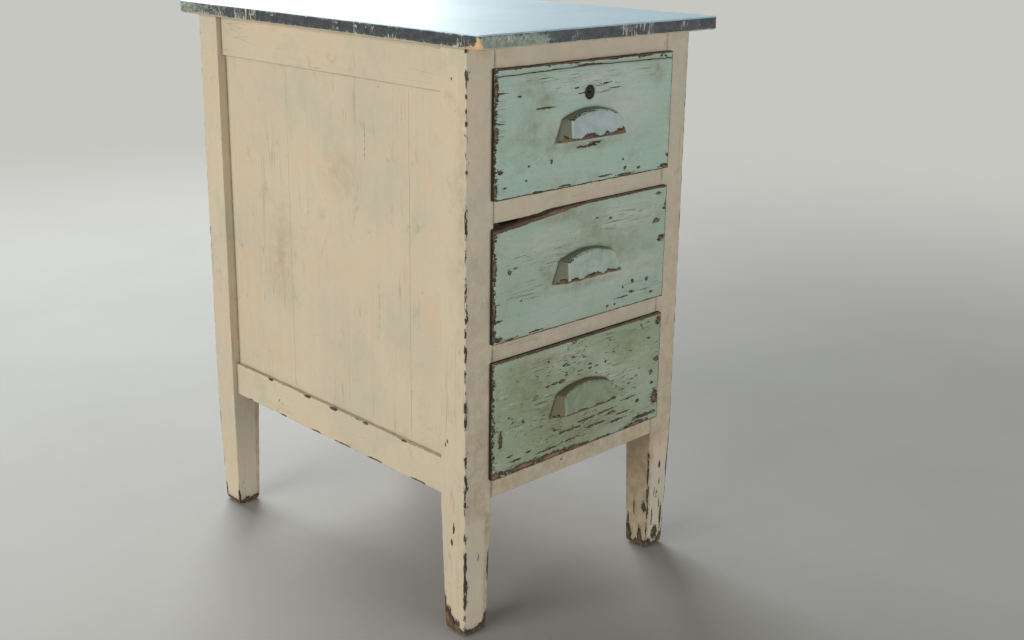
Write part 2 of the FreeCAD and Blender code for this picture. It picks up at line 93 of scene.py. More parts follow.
class Graph:
    """A material or a world under construction. Its places are in metres, in the piece's own frame."""

    def __init__(self, name, grain="Z", kind=bpy.data.materials):
        self.grain = grain
        self.made = kind.new(name)
        self.made.use_nodes = True
        self.tree = self.made.node_tree
        self.tree.nodes.clear()
        self.place = self.node("ShaderNodeTexCoord").outputs["Object"]

    def node(self, kind, feeds=None, **settings):
        """New node with its settings, and with what goes into its sockets by their name or number."""
        made = self.tree.nodes.new(kind)
        for name, value in settings.items():
            setattr(made, name, value)
        for key, value in (feeds or {}).items():
            if isinstance(value, bpy.types.NodeSocket):
                self.tree.links.new(value, made.inputs[key])
            else:
                made.inputs[key].default_value = value
        return made

    def math(self, operation, a, b=0.0, clamp=False):
        return self.node("ShaderNodeMath", {0: a, 1: b}, operation=operation, use_clamp=clamp).outputs[0]

    def add(self, a, b):
        return self.math("ADD", a, b)

    def less(self, a, b):
        return self.math("SUBTRACT", a, b)

    def times(self, a, b):
        return self.math("MULTIPLY", a, b)

    def most(self, *values):
        """The greatest of several values."""
        found = values[0]
        for value in values[1:]:
            found = self.math("MAXIMUM", found, value)
        return found

    def opposite(self, value):
        return self.less(1.0, value)

    def rise(self, value, low, high):
        """Smooth step from 0 at low to 1 at high."""
        feeds = {"Value": value, "From Min": low, "From Max": high}
        return self.node("ShaderNodeMapRange", feeds, interpolation_type="SMOOTHSTEP").outputs["Result"]

    def fall(self, value, low, high):
        """Smooth step from 1 at low to 0 at high."""
        return self.opposite(self.rise(value, low, high))

    def swing(self, value, reach):
        """A noise value moved to lie about 0, times a reach."""
        return self.times(self.less(value, 0.5), reach)

    def axis(self, name):
        """One coordinate of the place, in metres."""
        return self.node("ShaderNodeSeparateXYZ", {0: self.place}).outputs[name]

    def scaled(self, per_metre, shift=0.0):
        """The place times a number of features per metre along each axis."""
        feeds = {0: self.place, 1: each_way(per_metre), 2: each_way(shift)}
        return self.node("ShaderNodeVectorMath", feeds, operation="MULTIPLY_ADD").outputs[0]

    def noise(self, per_metre, detail=3.0, roughness=0.55, distortion=0.0, shift=0.0):
        feeds = {"Vector": self.scaled(per_metre, shift), "Scale": 1.0, "Detail": detail,
                 "Roughness": roughness, "Distortion": distortion}
        return self.node("ShaderNodeTexNoise", feeds).outputs["Fac"]

    def stretched(self, along, across):
        """Features per metre, few along the grain and many across it."""
        return tuple(along if name == self.grain else across for name in "XYZ")

    def fibres(self, along, across, *settings, **more):
        """Noise that is stretched along the grain."""
        return self.noise(self.stretched(along, across), *settings, **more)

    def specks(self, per_metre, share, size, shift=0.0, soft=0.10):
        """Spots on a share of scattered points, with their radius and their soft rim in cells."""
        cells = self.node("ShaderNodeTexVoronoi", {"Vector": self.scaled(per_metre, shift), "Scale": 1.0})
        chance = self.node("ShaderNodeSeparateColor", {0: cells.outputs["Color"]}).outputs[0]
        over = self.less(self.add(chance, share), 1.0)
        radius = self.times(self.math("MULTIPLY", over, 12.0, clamp=True), size)
        return self.rise(self.less(radius, cells.outputs["Distance"]), 0.0, soft)

    def lines(self, per_metre, width, detail=2.0, distortion=0.4, shift=0.0):
        """Thin lines where a stretched noise passes its middle value."""
        value = self.noise(per_metre, detail, 0.6, distortion, shift)
        off = self.math("ABSOLUTE", self.less(value, 0.5))
        return self.fall(off, 0.35 * width, width)

    def attribute(self, name):
        return self.node("ShaderNodeAttribute", attribute_name=name).outputs["Fac"]

    def blend(self, share, a, b):
        """Colour a with a share of colour b."""
        return self.node("ShaderNodeMix", {0: share, 6: a, 7: b}, data_type="RGBA").outputs[2]

    def tint(self, colour, share, most, other):
        """Colour with some of another, up to a greatest share."""
        return self.blend(self.times(share, most), colour, other)

    def between(self, share, a, b):
        """Number between a and b."""
        return self.node("ShaderNodeMix", {0: share, 2: a, 3: b}, data_type="FLOAT").outputs[0]

    def shade(self, colour, low, high, value):
        """Colour made darker or lighter, from a factor low to a factor high as the value goes 0 to 1."""
        feeds = {0: colour, "Scale": self.between(value, low, high)}
        return self.node("ShaderNodeVectorMath", feeds, operation="SCALE").outputs[0]

    def surface(self, colour, roughness, height=None, metallic=0.0, specular=0.5):
        """Close the graph with one shader. The height is in metres."""
        feeds = {"Base Color": colour, "Roughness": roughness, "Metallic": metallic,
                 "Specular IOR Level": specular}
        if height is not None:
            bump = self.node("ShaderNodeBump", {"Strength": 1.0, "Distance": 1.0, "Height": height})
            feeds["Normal"] = bump.outputs["Normal"]
        shader = self.node("ShaderNodeBsdfPrincipled", feeds)
        self.node("ShaderNodeOutputMaterial", {"Surface": shader.outputs[0]})
        return self.made


CHALK = rgb(206, 205, 192)
# Darkening beside other pieces and near the floor: partly grime, partly painted shade
GRIME_AND_SHADE = rgb(84, 76, 56)
# Wood under that darkening, and in the painted shade behind a drawer's lip
WOOD_GRIME_AND_SHADE = rgb(30, 26, 21)


def wood_colour(g, dark, light):
    """Grained wood between two colours."""
    grain = g.fibres(9, 160, 5, 0.6, 0.6)
    fibre = g.fibres(40, 900, 3, 0.6)
    tone = g.add(g.times(grain, 0.7), g.times(fibre, 0.3))
    return g.blend(g.rise(tone, 0.3, 0.7), dark, light)


def wear_level(g, ragged=1.0):
    """The piece's wear, broken up by noise. Above 0.5 the paint is gone, further above the wood is open."""
    coarse = g.fibres(150, 380, 4, 0.65, 0.3)
    fine = g.fibres(450, 1200, 3, 0.6)
    uneven = g.add(g.times(coarse, 0.8), g.times(fine, 0.45))
    return g.add(g.attribute("wear"), g.times(g.less(uneven, 0.625), ragged))


def old_wood(g):
    """What a chip shows: dark dirty wood, paler and browner in the middle of a large one."""
    dirty = wood_colour(g, rgb(36, 31, 25), rgb(82, 68, 52))
    open_wood = wood_colour(g, rgb(74, 58, 46), rgb(150, 122, 94))
    middle = g.add(g.attribute("wear"), g.swing(g.noise(160, 3), 0.5))
    return g.blend(g.rise(middle, 0.66, 0.95), dirty, open_wood)


def painted(name, axis, coat, spots, rim, soil_and_shade, roughness, ragged=1.0, unpainted_and_shaded=None):
    """Old paint over wood: its coat, flecks and rims, soil that low on the front is partly painted shade,
    darkening beside other pieces that is partly grime and partly painted shade, and further back no paint,
    where the wood is darkened as painted shade of the gap behind a drawer's lip.
    """
    g = Graph(name, axis)
    level = wear_level(g, ragged)
    cluster = g.swing(g.noise(24, 3, 0.6), 0.35)
    tendency = g.add(g.times(g.attribute("flecks"), 0.185), cluster)
    flecks = g.add(g.fibres(90, 380, 4, 0.7, 0.2), tendency)
    flecks = g.rise(flecks, 0.755 - spots, 0.775 - spots)
    drying = g.rise(g.fibres(30, 1000, 3, 0.6, 0.15), 0.56, 0.68)
    broken = g.add(g.attribute("crackle"), g.swing(g.fibres(40, 90, 3), 2.0))
    drying = g.times(drying, g.times(g.rise(broken, 0.35, 1.0), 0.9))
    depth = g.add(g.axis("Y"), g.swing(g.noise((90, 300, 90), 3), 3 * MM))
    # Behind the lip the paint ends and the wood is darkened as painted shade of the gap around the drawer
    behind = g.rise(depth, *unpainted_and_shaded) if unpainted_and_shaded else 0.0
    bare = g.most(g.rise(level, 0.48, 0.52), flecks, drying, behind)
    edge = g.times(g.rise(level, 0.40, 0.48), g.opposite(bare))
    colour = coat(g)
    pale = g.times(g.attribute("pale"), g.rise(g.fibres(30, 120, 4, 0.65), 0.25, 0.7))
    colour = g.tint(colour, pale, 0.6, CHALK)
    uneven = g.rise(g.noise(70, 4, 0.65), 0.2, 0.75)
    dirt = g.times(g.attribute("dirt"), uneven)
    colour = g.tint(colour, dirt, 0.7, soil_and_shade)
    # Darker beside neighbouring pieces and near the floor: partly grime, partly painted shade between parts
    grime_and_shade = g.times(g.attribute("grime_and_shade"), g.between(uneven, 0.45, 1.0))
    colour = g.tint(colour, grime_and_shade, 0.65, GRIME_AND_SHADE)
    colour = g.tint(colour, edge, 0.55, rim)
    # The wood is darkened beside other pieces, partly grime and partly painted shade, and behind a drawer's
    # lip as painted shade of the gap
    wood = g.tint(old_wood(g), g.most(grime_and_shade, behind), 0.8, WOOD_GRIME_AND_SHADE)
    if unpainted_and_shaded:
        wood = g.blend(g.rise(g.axis("Y"), *BEHIND_LIP), wood, wood_colour(g, *PINE))
    colour = g.blend(bare, colour, wood)
    brushed = g.fibres(45, 700, 3, 0.6)
    lumps = g.noise(220, 3, 0.6)
    height = g.add(g.times(brushed, 0.06 * MM), g.times(lumps, 0.09 * MM))
    height = g.add(height, g.times(g.opposite(bare), 0.22 * MM))
    gloss = g.between(bare, g.between(g.noise(40, 3), roughness - 0.08, roughness + 0.1), 0.85)
    return g.surface(colour, gloss, height, specular=0.4)


def cream_coat(g):
    """Cream in broad yellower and greyer patches, with fine cracks, smudges and dots."""
    broad = g.noise(5, 2, 0.5)
    patch = g.noise(14, 4, 0.65, 0.5, shift=3.0)
    colour = g.blend(g.rise(broad, 0.35, 0.65), rgb(208, 196, 172), rgb(200, 191, 171))
    colour = g.tint(colour, g.rise(patch, 0.5, 0.72), 0.6, rgb(212, 189, 158))
    colour = g.tint(colour, g.rise(patch, 0.5, 0.3), 0.6, rgb(186, 184, 162))
    streaks = g.fibres(5, 110, 4, 0.6, 0.4)
    colour = g.shade(colour, 0.95, 1.04, streaks)
    hair = g.lines(g.stretched(1.6, 46), 0.006, 2.0, 0.15, 11.0)
    hair = g.times(hair, g.rise(g.noise(9, 2, shift=2.0), 0.42, 0.6))
    colour = g.tint(colour, hair, 0.35, rgb(122, 110, 86))
    smudge = g.rise(g.noise((42, 42, 26), 4, 0.7, 0.6, shift=6.0), 0.60, 0.75)
    colour = g.tint(colour, smudge, 0.45, rgb(150, 140, 112))
    dots = g.specks(58, 0.07, 0.07, 7.0, 0.03)
    colour = g.tint(colour, dots, 0.6, rgb(104, 86, 64))
    return g.shade(colour, 0.94, 1.05, g.noise(90, 4, 0.65))


def panel_coat(g):
    """Cream with the fine cracks and scratches that run up the left panel."""
    colour = cream_coat(g)
    y, z = g.axis("Y"), g.axis("Z")
    y = g.add(y, g.swing(g.noise((0, 0, 12), 4, 0.6), 5 * MM))
    for number, (place, low, high, half, share, gap) in enumerate(PANEL_LINES):
        off = g.math("ABSOLUTE", g.less(y, place * MM))
        line = g.fall(off, 0.4 * half * MM, half * MM)
        along = g.times(g.rise(z, low * MM, (low + 14) * MM), g.fall(z, (high - 14) * MM, high * MM))
        left_out = g.rise(g.noise((0, 0, 150), 3, 0.6, shift=3.0 * number), gap, gap + 0.12)
        colour = g.blend(g.times(g.times(line, share), g.times(along, left_out)), colour, rgb(92, 82, 62))
    return colour


def mint_coat(g):
    """Mint that is bluer on the top drawer and more olive on the lowest."""
    height = g.axis("Z")
    colour = g.blend(g.rise(height, 0.50, 0.60), rgb(160, 181, 161), rgb(168, 193, 175))
    colour = g.blend(g.rise(height, 0.41, 0.35), colour, rgb(149, 162, 133))
    broad = g.noise((8, 8, 10), 3, 0.55)
    patch = g.noise((26, 26, 40), 4, 0.65, 0.6, shift=5.0)
    colour = g.tint(colour, g.rise(broad, 0.45, 0.7), 0.5, rgb(180, 192, 180))
    colour = g.tint(colour, g.rise(patch, 0.50, 0.72), 0.5, rgb(152, 158, 132))
    streaks = g.fibres(12, 300, 4, 0.65, 0.3)
    colour = g.shade(colour, 0.88, 1.09, streaks)
    worn = g.rise(g.fibres(50, 210, 4, 0.7, 0.3, shift=8.0), 0.56, 0.72)
    colour = g.tint(colour, worn, 0.5, rgb(196, 202, 188))
    stains = g.rise(g.fibres(160, 260, 4, 0.7, shift=4.0), 0.60, 0.72)
    colour = g.tint(colour, stains, 0.6, rgb(112, 116, 90))
    return g.shade(colour, 0.93, 1.06, g.noise(240, 3, 0.6))


def pull_coat(face_one, face_two, behind):
    """Paint of a pull, darker and more olive behind its face."""
    def coat(g):
        patch = g.noise(60, 4, 0.65, 0.4)
        colour = g.blend(g.rise(patch, 0.35, 0.65), face_one, face_two)
        colour = g.tint(colour, g.attribute("behind"), 0.9, behind)
        seams = g.noise((40, 300, 40), 3, 0.6, shift=3.0)
        colour = g.shade(colour, 0.90, 1.06, g.add(g.swing(seams, g.attribute("behind")), 0.5))
        return g.shade(colour, 0.93, 1.05, g.noise(260, 3, 0.6))

    return coat


def bare_wood(name, axis, dark, light):
    g = Graph(name, axis)
    colour = wood_colour(g, dark, light)
    stain = g.rise(g.noise(8, 3, 0.6, 0.5), 0.45, 0.75)
    colour = g.tint(colour, stain, 0.35, rgb(96, 76, 54))
    # Darker beside neighbouring pieces: partly grime, partly painted shade between parts
    colour = g.tint(colour, g.attribute("grime_and_shade"), 0.5, rgb(52, 42, 32))
    height = g.times(g.fibres(30, 700, 4, 0.65), 0.25 * MM)
    return g.surface(colour, g.between(stain, 0.75, 0.6), height, specular=0.3)


def top_edge(g, x, y, z):
    """Colour of the top's edge: dark paint, rubbed through to grey-green, with white scratches.

    The board lies between 0.743 and 0.760 m, and its left side at -0.210 m.
    """
    cloud = g.noise((90, 90, 150), 4, 0.7, 0.4)
    left_side = g.fall(x, -0.2085, -0.2060)
    navy = g.blend(g.rise(cloud, 0.3, 0.7), rgb(30, 35, 45), rgb(66, 71, 78))
    slate = g.blend(g.rise(cloud, 0.3, 0.7), rgb(46, 49, 55), rgb(80, 84, 86))
    navy = g.blend(g.opposite(left_side), navy, slate)
    green = g.rise(g.noise((150, 150, 220), 4, 0.7), 0.3, 0.7)
    green = g.blend(green, rgb(106, 124, 113), rgb(156, 164, 147))
    rear = g.times(left_side, g.rise(y, 0.10, 0.31))
    front = g.times(g.opposite(left_side), g.fall(x, -0.13, -0.08))
    low = g.fall(z, 0.7445, 0.7520)
    high = g.rise(z, 0.7510, 0.7580)
    ragged = g.noise((150, 150, 260), 5, 0.75, 0.4, shift=2.0)
    ragged = g.add(ragged, g.times(g.noise((500, 500, 700), 3), 0.3))
    rubbed = g.most(g.times(rear, 0.24), g.times(front, g.between(high, 0.5, 0.16)), g.times(low, 0.08))
    colour = g.blend(g.rise(g.add(rubbed, ragged), 0.79, 0.86), navy, green)
    underside = g.add(z, g.times(g.noise(60, 4, 0.6), 2.4 * MM))
    colour = g.blend(g.fall(underside, 0.7453, 0.7463), colour, rgb(196, 186, 160))
    scratch = g.lines((110, 110, 26), 0.028, 2.0, 1.2)
    scratch = g.times(scratch, g.rise(g.noise(30, 3, shift=9.0), 0.50, 0.58))
    border = g.most(g.rise(z, 0.7560, 0.7578), g.fall(z, 0.7450, 0.7472))
    chipped = g.rise(g.noise(170, 5, 0.7, shift=1.0), 0.56, 0.62)
    chipped = g.times(chipped, g.times(border, left_side))
    nicks = g.specks((330, 330, 420), g.rise(g.noise(50, 3, shift=1.0), 0.5, 0.9), 0.4)
    return g.tint(colour, g.most(scratch, nicks, chipped), 0.85, rgb(204, 204, 190))


def worn_top():
    """Pale blue, smooth top with a dark painted edge, down to the wood at one corner."""
    g = Graph("top_paint", "Y")
    x, y, z = (g.axis(name) for name in "XYZ")
    streaks = g.fibres(10, 160, 4, 0.6, 0.4)
    face = g.blend(g.rise(g.noise(6, 3), 0.35, 0.65), rgb(182, 218, 232), rgb(194, 226, 238))
    face = g.shade(face, 0.95, 1.04, streaks)
    scuffs = g.lines((26, 18, 1), 0.006, 3.0, 1.2)
    scuffs = g.times(scuffs, g.rise(g.noise(9, 2, shift=4.0), 0.5, 0.7))
    face = g.tint(face, scuffs, 0.35, rgb(120, 134, 136))
    rim = g.add(z, g.swing(g.noise(120, 4, 0.7), 1.2 * MM))
    on_edge = g.fall(rim, 0.7581, 0.7587)
    level = wear_level(g)
    bare = g.rise(level, 0.47, 0.53)
    colour = g.blend(on_edge, face, top_edge(g, x, y, z))
    colour = g.blend(bare, colour, wood_colour(g, rgb(182, 142, 94), rgb(214, 184, 136)))
    below = g.fall(z, 0.7431, 0.7434)
    colour = g.blend(below, colour, wood_colour(g, rgb(120, 92, 62), rgb(170, 136, 96)))
    height = g.add(g.times(streaks, 0.05 * MM), g.times(g.opposite(bare), 0.2 * MM))
    roughness = g.between(on_edge, g.between(streaks, 0.36, 0.46), 0.45)
    return g.surface(colour, roughness, height, specular=0.5)


def iron():
    g = Graph("iron")
    patch = g.noise(300, 5, 0.65)
    colour = g.blend(g.rise(patch, 0.42, 0.72), rgb(30, 31, 31), rgb(66, 54, 44))
    return g.surface(colour, g.between(patch, 0.45, 0.8), g.times(patch, 0.25 * MM), metallic=0.5)


def steel():
    g = Graph("steel")
    patch = g.noise(400, 4, 0.6)
    colour = g.blend(g.rise(patch, 0.4, 0.7), rgb(128, 124, 116), rgb(92, 74, 58))
    return g.surface(colour, g.between(patch, 0.35, 0.65), g.times(patch, 0.1 * MM), metallic=0.8)


GREEN_RIM = rgb(178, 188, 172)
PALE_RIM = rgb(196, 206, 190)
# Olive darkening for the fronts and the pulls, beside and under the pulls and towards the drawer
OLIVE_DARKENING = rgb(126, 118, 82)
# Tan for the cream's dirt, and for the painted shade low on its front
TAN_SOIL_AND_SHADE = rgb(152, 122, 76)
PINE = (rgb(146, 114, 78), rgb(192, 160, 118))
FLANK = rgb(100, 106, 84)

# Depths in metres between which a front's paint ends and its wood turns dark as painted shade of the gap
# behind the lip, and between which that dark wood turns to clean pine
ON_LIP = (-0.2820, -0.2806)
BEHIND_LIP = (-0.2705, -0.2690)

# Lines on the left panel: place along y, lower and upper end, half width, strength and share left out
PANEL_LINES = [
    (95, 231, 688, 0.5, 0.5, 0.30), (-160, 231, 688, 0.5, 0.55, 0.30), (-73, 580, 642, 0.8, 0.9, 0.42),
    (-146, 636, 670, 0.6, 0.8, 0.42), (-98, 360, 436, 0.5, 0.6, 0.40), (160, 380, 560, 0.4, 0.4, 0.36),
]


def cream_look(name, axis, coat):
    return painted(name, axis, coat, -0.045, GREEN_RIM, TAN_SOIL_AND_SHADE, 0.5), "cream_paint"


def pull_look(name, one, two, flank, spots, slot):
    return painted(name, "X", pull_coat(one, two, flank), spots, PALE_RIM, OLIVE_DARKENING, 0.5), slot


# Looks: a material and its slot
cream = {axis: cream_look("cream_paint_" + axis.lower(), axis, cream_coat) for axis in "XYZ"}
cream_panel = cream_look("cream_panel_paint", "Z", panel_coat)
mint = painted("mint_paint", "X", mint_coat, 0.0, PALE_RIM, OLIVE_DARKENING, 0.55, 1.9, ON_LIP), "mint_paint"
pull_looks = [
    pull_look("pale_blue_paint", rgb(164, 184, 178), rgb(186, 200, 198), FLANK, -0.02, "pale_blue_paint"),
    pull_look("pull_grey_paint", rgb(152, 172, 156), rgb(174, 188, 176), FLANK, -0.01, "pale_blue_paint"),
    pull_look("pull_mint_paint", rgb(126, 138, 112), rgb(140, 151, 127), rgb(104, 92, 66), 0.0, "mint_paint"),
]
pine = {axis: (bare_wood("pine_" + axis.lower(), axis, *PINE), "bare_wood") for axis in "XYZ"}
plywood = bare_wood("plywood", "X", rgb(150, 118, 80), rgb(190, 158, 116)), "plywood"
top_paint = worn_top(), "top_paint"
iron_metal = iron()
steel_metal = steel()


# Pieces: a CAD node's shape, with worn arrises and the marks of use


def cad_shape(node):
    """The node's mesh as an editable copy with whole flat faces."""
    bm = bmesh.new()
    bm.from_mesh(frame["nodes"][node].data)
    bmesh.ops.remove_doubles(bm, verts=bm.verts, dist=1e-6)
    bmesh.ops.dissolve_limit(bm, angle_limit=math.radians(0.5), verts=bm.verts, edges=bm.edges)
    return bm


def outer_sides(bm):
    """Sides of the piece's hull, as lists of planes that face nearly the same way, and the faces on them."""
    corners = np.array([v.co for v in bm.verts])
    sides, faces = [], set()
    for face in bm.faces:
        normal = np.array(face.normal)
        offset = float(normal @ np.array(face.verts[0].co))
        if (corners @ normal).max() > offset + 2e-5:
            continue
        faces.add(face)
        for side in sides:
            if side[0][0] @ normal > SAME_SIDE:
                side.append((normal, offset))
                break
        else:
            sides.append([(normal, offset)])
    return sides, faces


def soften(bm, faces, width):
    """Bevel the sharp edges between outer faces."""
    edges = [e for e in bm.edges if len(e.link_faces) == 2 and all(f in faces for f in e.link_faces)]
    edges = [e for e in edges if e.calc_face_angle(0.0) > SHARP_ANGLE]
    bmesh.ops.bevel(bm, geom=edges, offset=width, segments=2, profile=0.5, affect="EDGES")


def cut_places(low, high, step):
    """Where to slice a length: close together near its ends and evenly between them."""
    reach = high - low
    near = [s for s in ARRIS_SLICES if s < 0.45 * reach]
    inner = ARRIS_SLICES[-1]
    count = int((reach - 2 * inner) / step)
    between = [low + inner + (reach - 2 * inner) * i / count for i in range(1, count)] if count > 1 else []
    return [low + s for s in near] + between + [high - s for s in reversed(near)]


def mates(node):
    """The other nodes on the same body."""
    return [other for other, body in body_of.items() if other != node and body == body_of[node]]


def box_of(node):
    """The lowest and the highest corner of a node's box."""
    return [np.array(corner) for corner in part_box(node)]


def joint_places(node):
    """Where the pieces that join a frame piece begin and end, with places just beside, along each axis."""
    low, high = box_of(node)
    places = [[], [], []]
    for other in mates(node):
        a, b = box_of(other)
        if (a > high + 1 * MM).any() or (b < low - 1 * MM).any():
            continue
        for axis in range(3):
            found = [end + off for end in (a[axis], b[axis]) for off in JOINT_SLICES]
            places[axis] += [f for f in found if low[axis] + 0.8 * MM < f < high[axis] - 0.8 * MM]
    return places


def slice_up(bm, step, joints):
    """Cut the mesh by planes across each axis."""
    corners = np.array([v.co for v in bm.verts])
    low, high = corners.min(0), corners.max(0)
    for axis in range(3):
        normal = [0.0, 0.0, 0.0]
        normal[axis] = 1.0
        places = sorted(cut_places(low[axis], high[axis], step) + joints[axis])
        places = [p for i, p in enumerate(places) if i == 0 or p - places[i - 1] > 0.4 * MM]
        for place in places:
            point = [0.0, 0.0, 0.0]
            point[axis] = place
            everything = bm.verts[:] + bm.edges[:] + bm.faces[:]
            bmesh.ops.bisect_plane(bm, geom=everything, plane_co=point, plane_no=normal)


def halve_faces(bm, in_front_of):
    """Divide the faces that lie before a depth once more."""
    faces = [f for f in bm.faces if f.calc_center_median().y < in_front_of]
    edges = {e for f in faces for e in f.edges}
    bmesh.ops.subdivide_edges(bm, edges=list(edges), cuts=1, use_grid_fill=True)


def rough(point, per_metre, seed=0.0):
    """Fractal noise about 0, from -1 to 1."""
    x, y, z = (place * scale for place, scale in zip(point, each_way(per_metre)))
    return noise.fractal(Vector((x + seed, y, z)), 0.8, 2.0, 4)


def rough_all(points, per_metre, seed=0.0):
    return np.array([rough(p, per_metre, seed) for p in points])


def arris_gaps(points, sides):
    """For each point, its distance from the nearest arris and the direction out of the piece there."""
    gaps = np.empty((len(points), len(sides)))
    for i, side in enumerate(sides):
        gaps[:, i] = np.min([offset - points @ normal for normal, offset in side], axis=0)
    order = np.argsort(gaps, axis=1)
    rows = np.arange(len(points))
    normals = np.array([side[0][0] for side in sides])
    outward = normals[order[:, 0]] + normals[order[:, 1]]
    outward /= np.linalg.norm(outward, axis=1)[:, None] + 1e-9
    return gaps[rows, order[:, 1]], outward


def erode(points, gaps, outward, bite, per_metre=70, usual=0.1):
    """Push points near an arris inwards, here and there."""
    for i in np.nonzero(gaps < ARRIS_REACH)[0]:
        deep = max(0.0, rough(points[i], per_metre) + usual) * bite * (1 - gaps[i] / ARRIS_REACH)
        points[i] -= outward[i] * deep
    return points


def arris_wear(points, gaps, width, usual=0.50, most=0.62):
    """Wear that is widest on the arris, and stronger here than there. It is 0.5 where the paint ends."""
    wear = np.zeros(len(points))
    width = wear + width
    for i in np.nonzero(gaps < 14 * MM)[0]:
        reach = width[i] * max(0.3, 1.0 + 1.8 * rough(points[i], 55, 4.0))
        strength = min(most, max(0.0, usual + 0.4 * rough(points[i], 80, 13.0)))
        wear[i] = strength * max(0.0, 1 - 0.5 * gaps[i] / reach)
    return wear


def reach_of(points, marks, slope, top):
    """Strength of marks, each given in millimetres as its centre and its three half sizes."""
    strength = np.zeros(len(points))
    for mark in marks:
        centre, half = np.array(mark[:3]) * MM, np.array(mark[3:]) * MM
        strength = np.maximum(strength, top - slope * np.linalg.norm((points - centre) / half, axis=1))
    return unit(strength)


def chip_wear(points, marks):
    return reach_of(points, marks, 0.55, 1.05)


def others_tree(node):
    """Search tree of the other nodes on the same body."""
    verts, faces = [], []
    for other in mates(node):
        mesh = frame["nodes"][other].data
        start = len(verts)
        verts += [v.co.copy() for v in mesh.vertices]
        faces += [[start + i for i in p.vertices] for p in mesh.polygons]
    return BVHTree.FromPolygons(verts, faces)


def grime_and_shade_near(points, node):
    """Darkening beside the neighbouring pieces and at the foot of what stands on the floor: partly dirt,
    partly painted shade between parts and at the floor.
    """
    tree = others_tree(node)
    found = [tree.find_nearest(Vector(p), GRIME_AND_SHADE_REACH)[3] for p in points]
    gaps = np.array([GRIME_AND_SHADE_REACH if gap is None else gap for gap in found])
    return np.maximum((1 - gaps / GRIME_AND_SHADE_REACH) ** 2, 0.8 * unit(1 - points[:, 2] / (16 * MM)))


def write_attributes(mesh, values):
    for name, numbers in values.items():
        attribute = mesh.attributes.new(name, "FLOAT", "POINT")
        attribute.data.foreach_set("value", np.asarray(numbers, np.float32))


def placed(name, data):
    """New object in the scene."""
    made = bpy.data.objects.new(name, data)
    bpy.context.scene.collection.objects.link(made)
    return made


def points_of(mesh):
    flat = np.empty(len(mesh.vertices) * 3, np.float32)
    mesh.vertices.foreach_get("co", flat)
    return flat.reshape(-1, 3).astype(float)


def set_points(mesh, points):
    mesh.vertices.foreach_set("co", points.astype(np.float32).ravel())
    mesh.update()


def smooth_faces(mesh, angle):
    mesh.polygons.foreach_set("use_smooth", np.ones(len(mesh.polygons), bool))
    mesh.set_sharp_from_angle(angle=math.radians(angle))


def mesh_from(bm, name):
    mesh = bpy.data.meshes.new(name)
    bm.to_mesh(mesh)
    bm.free()
    return mesh


def place_piece(name, mesh, node, look):
    """Put a piece in the scene in its node's stead, with the look's material."""
    material, slot = look
    mesh.materials.clear()
    mesh.materials.append(material)
    piece = placed(name, mesh)
    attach(piece, body_of[node])
    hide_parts(node)


def worn_piece(node, look, sizes, marks=(), wear=None, paint=None, shape=None, halve=None):
    """Dress one node: its own shape with softened, eroded arrises and the wear that the paint shows."""
    step, soft, bite, width = (size * MM for size in sizes)
    bm = cad_shape(node)
    sides, faces = outer_sides(bm)
    soften(bm, faces, soft)
    slice_up(bm, step, joint_places(node) if body_of[node] == "cabinet" else ([], [], []))
    if halve is not None:
        halve_faces(bm, halve * MM)
    mesh = mesh_from(bm, "worn_" + node)
    points = points_of(mesh)
    gaps, outward = arris_gaps(points, sides)
    levels = np.maximum(arris_wear(points, gaps, width), chip_wear(points, marks))
    if wear:
        levels = np.maximum(levels, wear(points, gaps))
    write_attributes(mesh, {"wear": levels, "grime_and_shade": grime_and_shade_near(points, node)})
    if paint:
        write_attributes(mesh, paint(points))
    points = erode(points, gaps, outward, bite)
    if shape:
        points = shape(points)
    set_points(mesh, points)
    smooth_faces(mesh, 38)
    place_piece("worn_" + node, mesh, node, look)


# Frame


def foot_wear(points, gaps):
    """Paint gone from the lowest part of a leg, higher on the arrises."""
    height = 3 * MM + 18 * MM * np.maximum(0, rough_all(points, (38, 38, 14), 9.0))
    height += unit(1 - gaps / (7 * MM)) * 6 * MM
    return np.clip(1.5 - points[:, 2] / height, 0, 1.3)


def leg_wear(points, gaps):
    """Foot wear, and chips along the arrises of the leg below the rails."""
    below = unit((0.24 - points[:, 2]) / 0.08)
    return np.maximum(foot_wear(points, gaps), arris_wear(points, gaps, 0.35 * MM, 0.58, 0.66) * below)


def soil_and_shade(node):
    """Brownish darkening: dirt in places, on the inner faces of the legs below the rails, and on what faces
    the front more towards the floor, where it is partly dirt and partly painted shade.
    """
    def paint(points):
        facing = points[:, 1] < -276.6 * MM
        # Front faces darker and browner towards the floor: partly dirt, partly painted shade
        low = facing * np.interp(points[:, 2], (0.0, 0.25, 0.55, 0.76), (1.0, 0.6, 0.25, 0.15))
        # Inner faces of the legs below the rails made darker and browner
        inner = 0.9 * (np.abs(points[:, 0]) < 161 * MM) * (points[:, 2] < 182 * MM)
        marks = 0.6 * reach_of(points, SOIL_MARKS.get(node, ()), 0.8, 1.1)
        return {"dirt": np.maximum.reduce([low, inner, marks])}

    return paint


def rail_wear(points, gaps):
    return arris_wear(points, gaps, 0.5 * MM, 0.57, 0.70)


def round_feet(points):
    """Rub the lowest corners of a leg round."""
    low = unit(1 - points[:, 2] / (12 * MM)) ** 2
    middle = (points.max(0) + points.min(0)) / 2
    for axis in range(2):
        off = points[:, axis] - middle[axis]
        points[:, axis] -= np.sign(off) * low * 1.6 * MM * (np.abs(off) > 14 * MM)
    return points


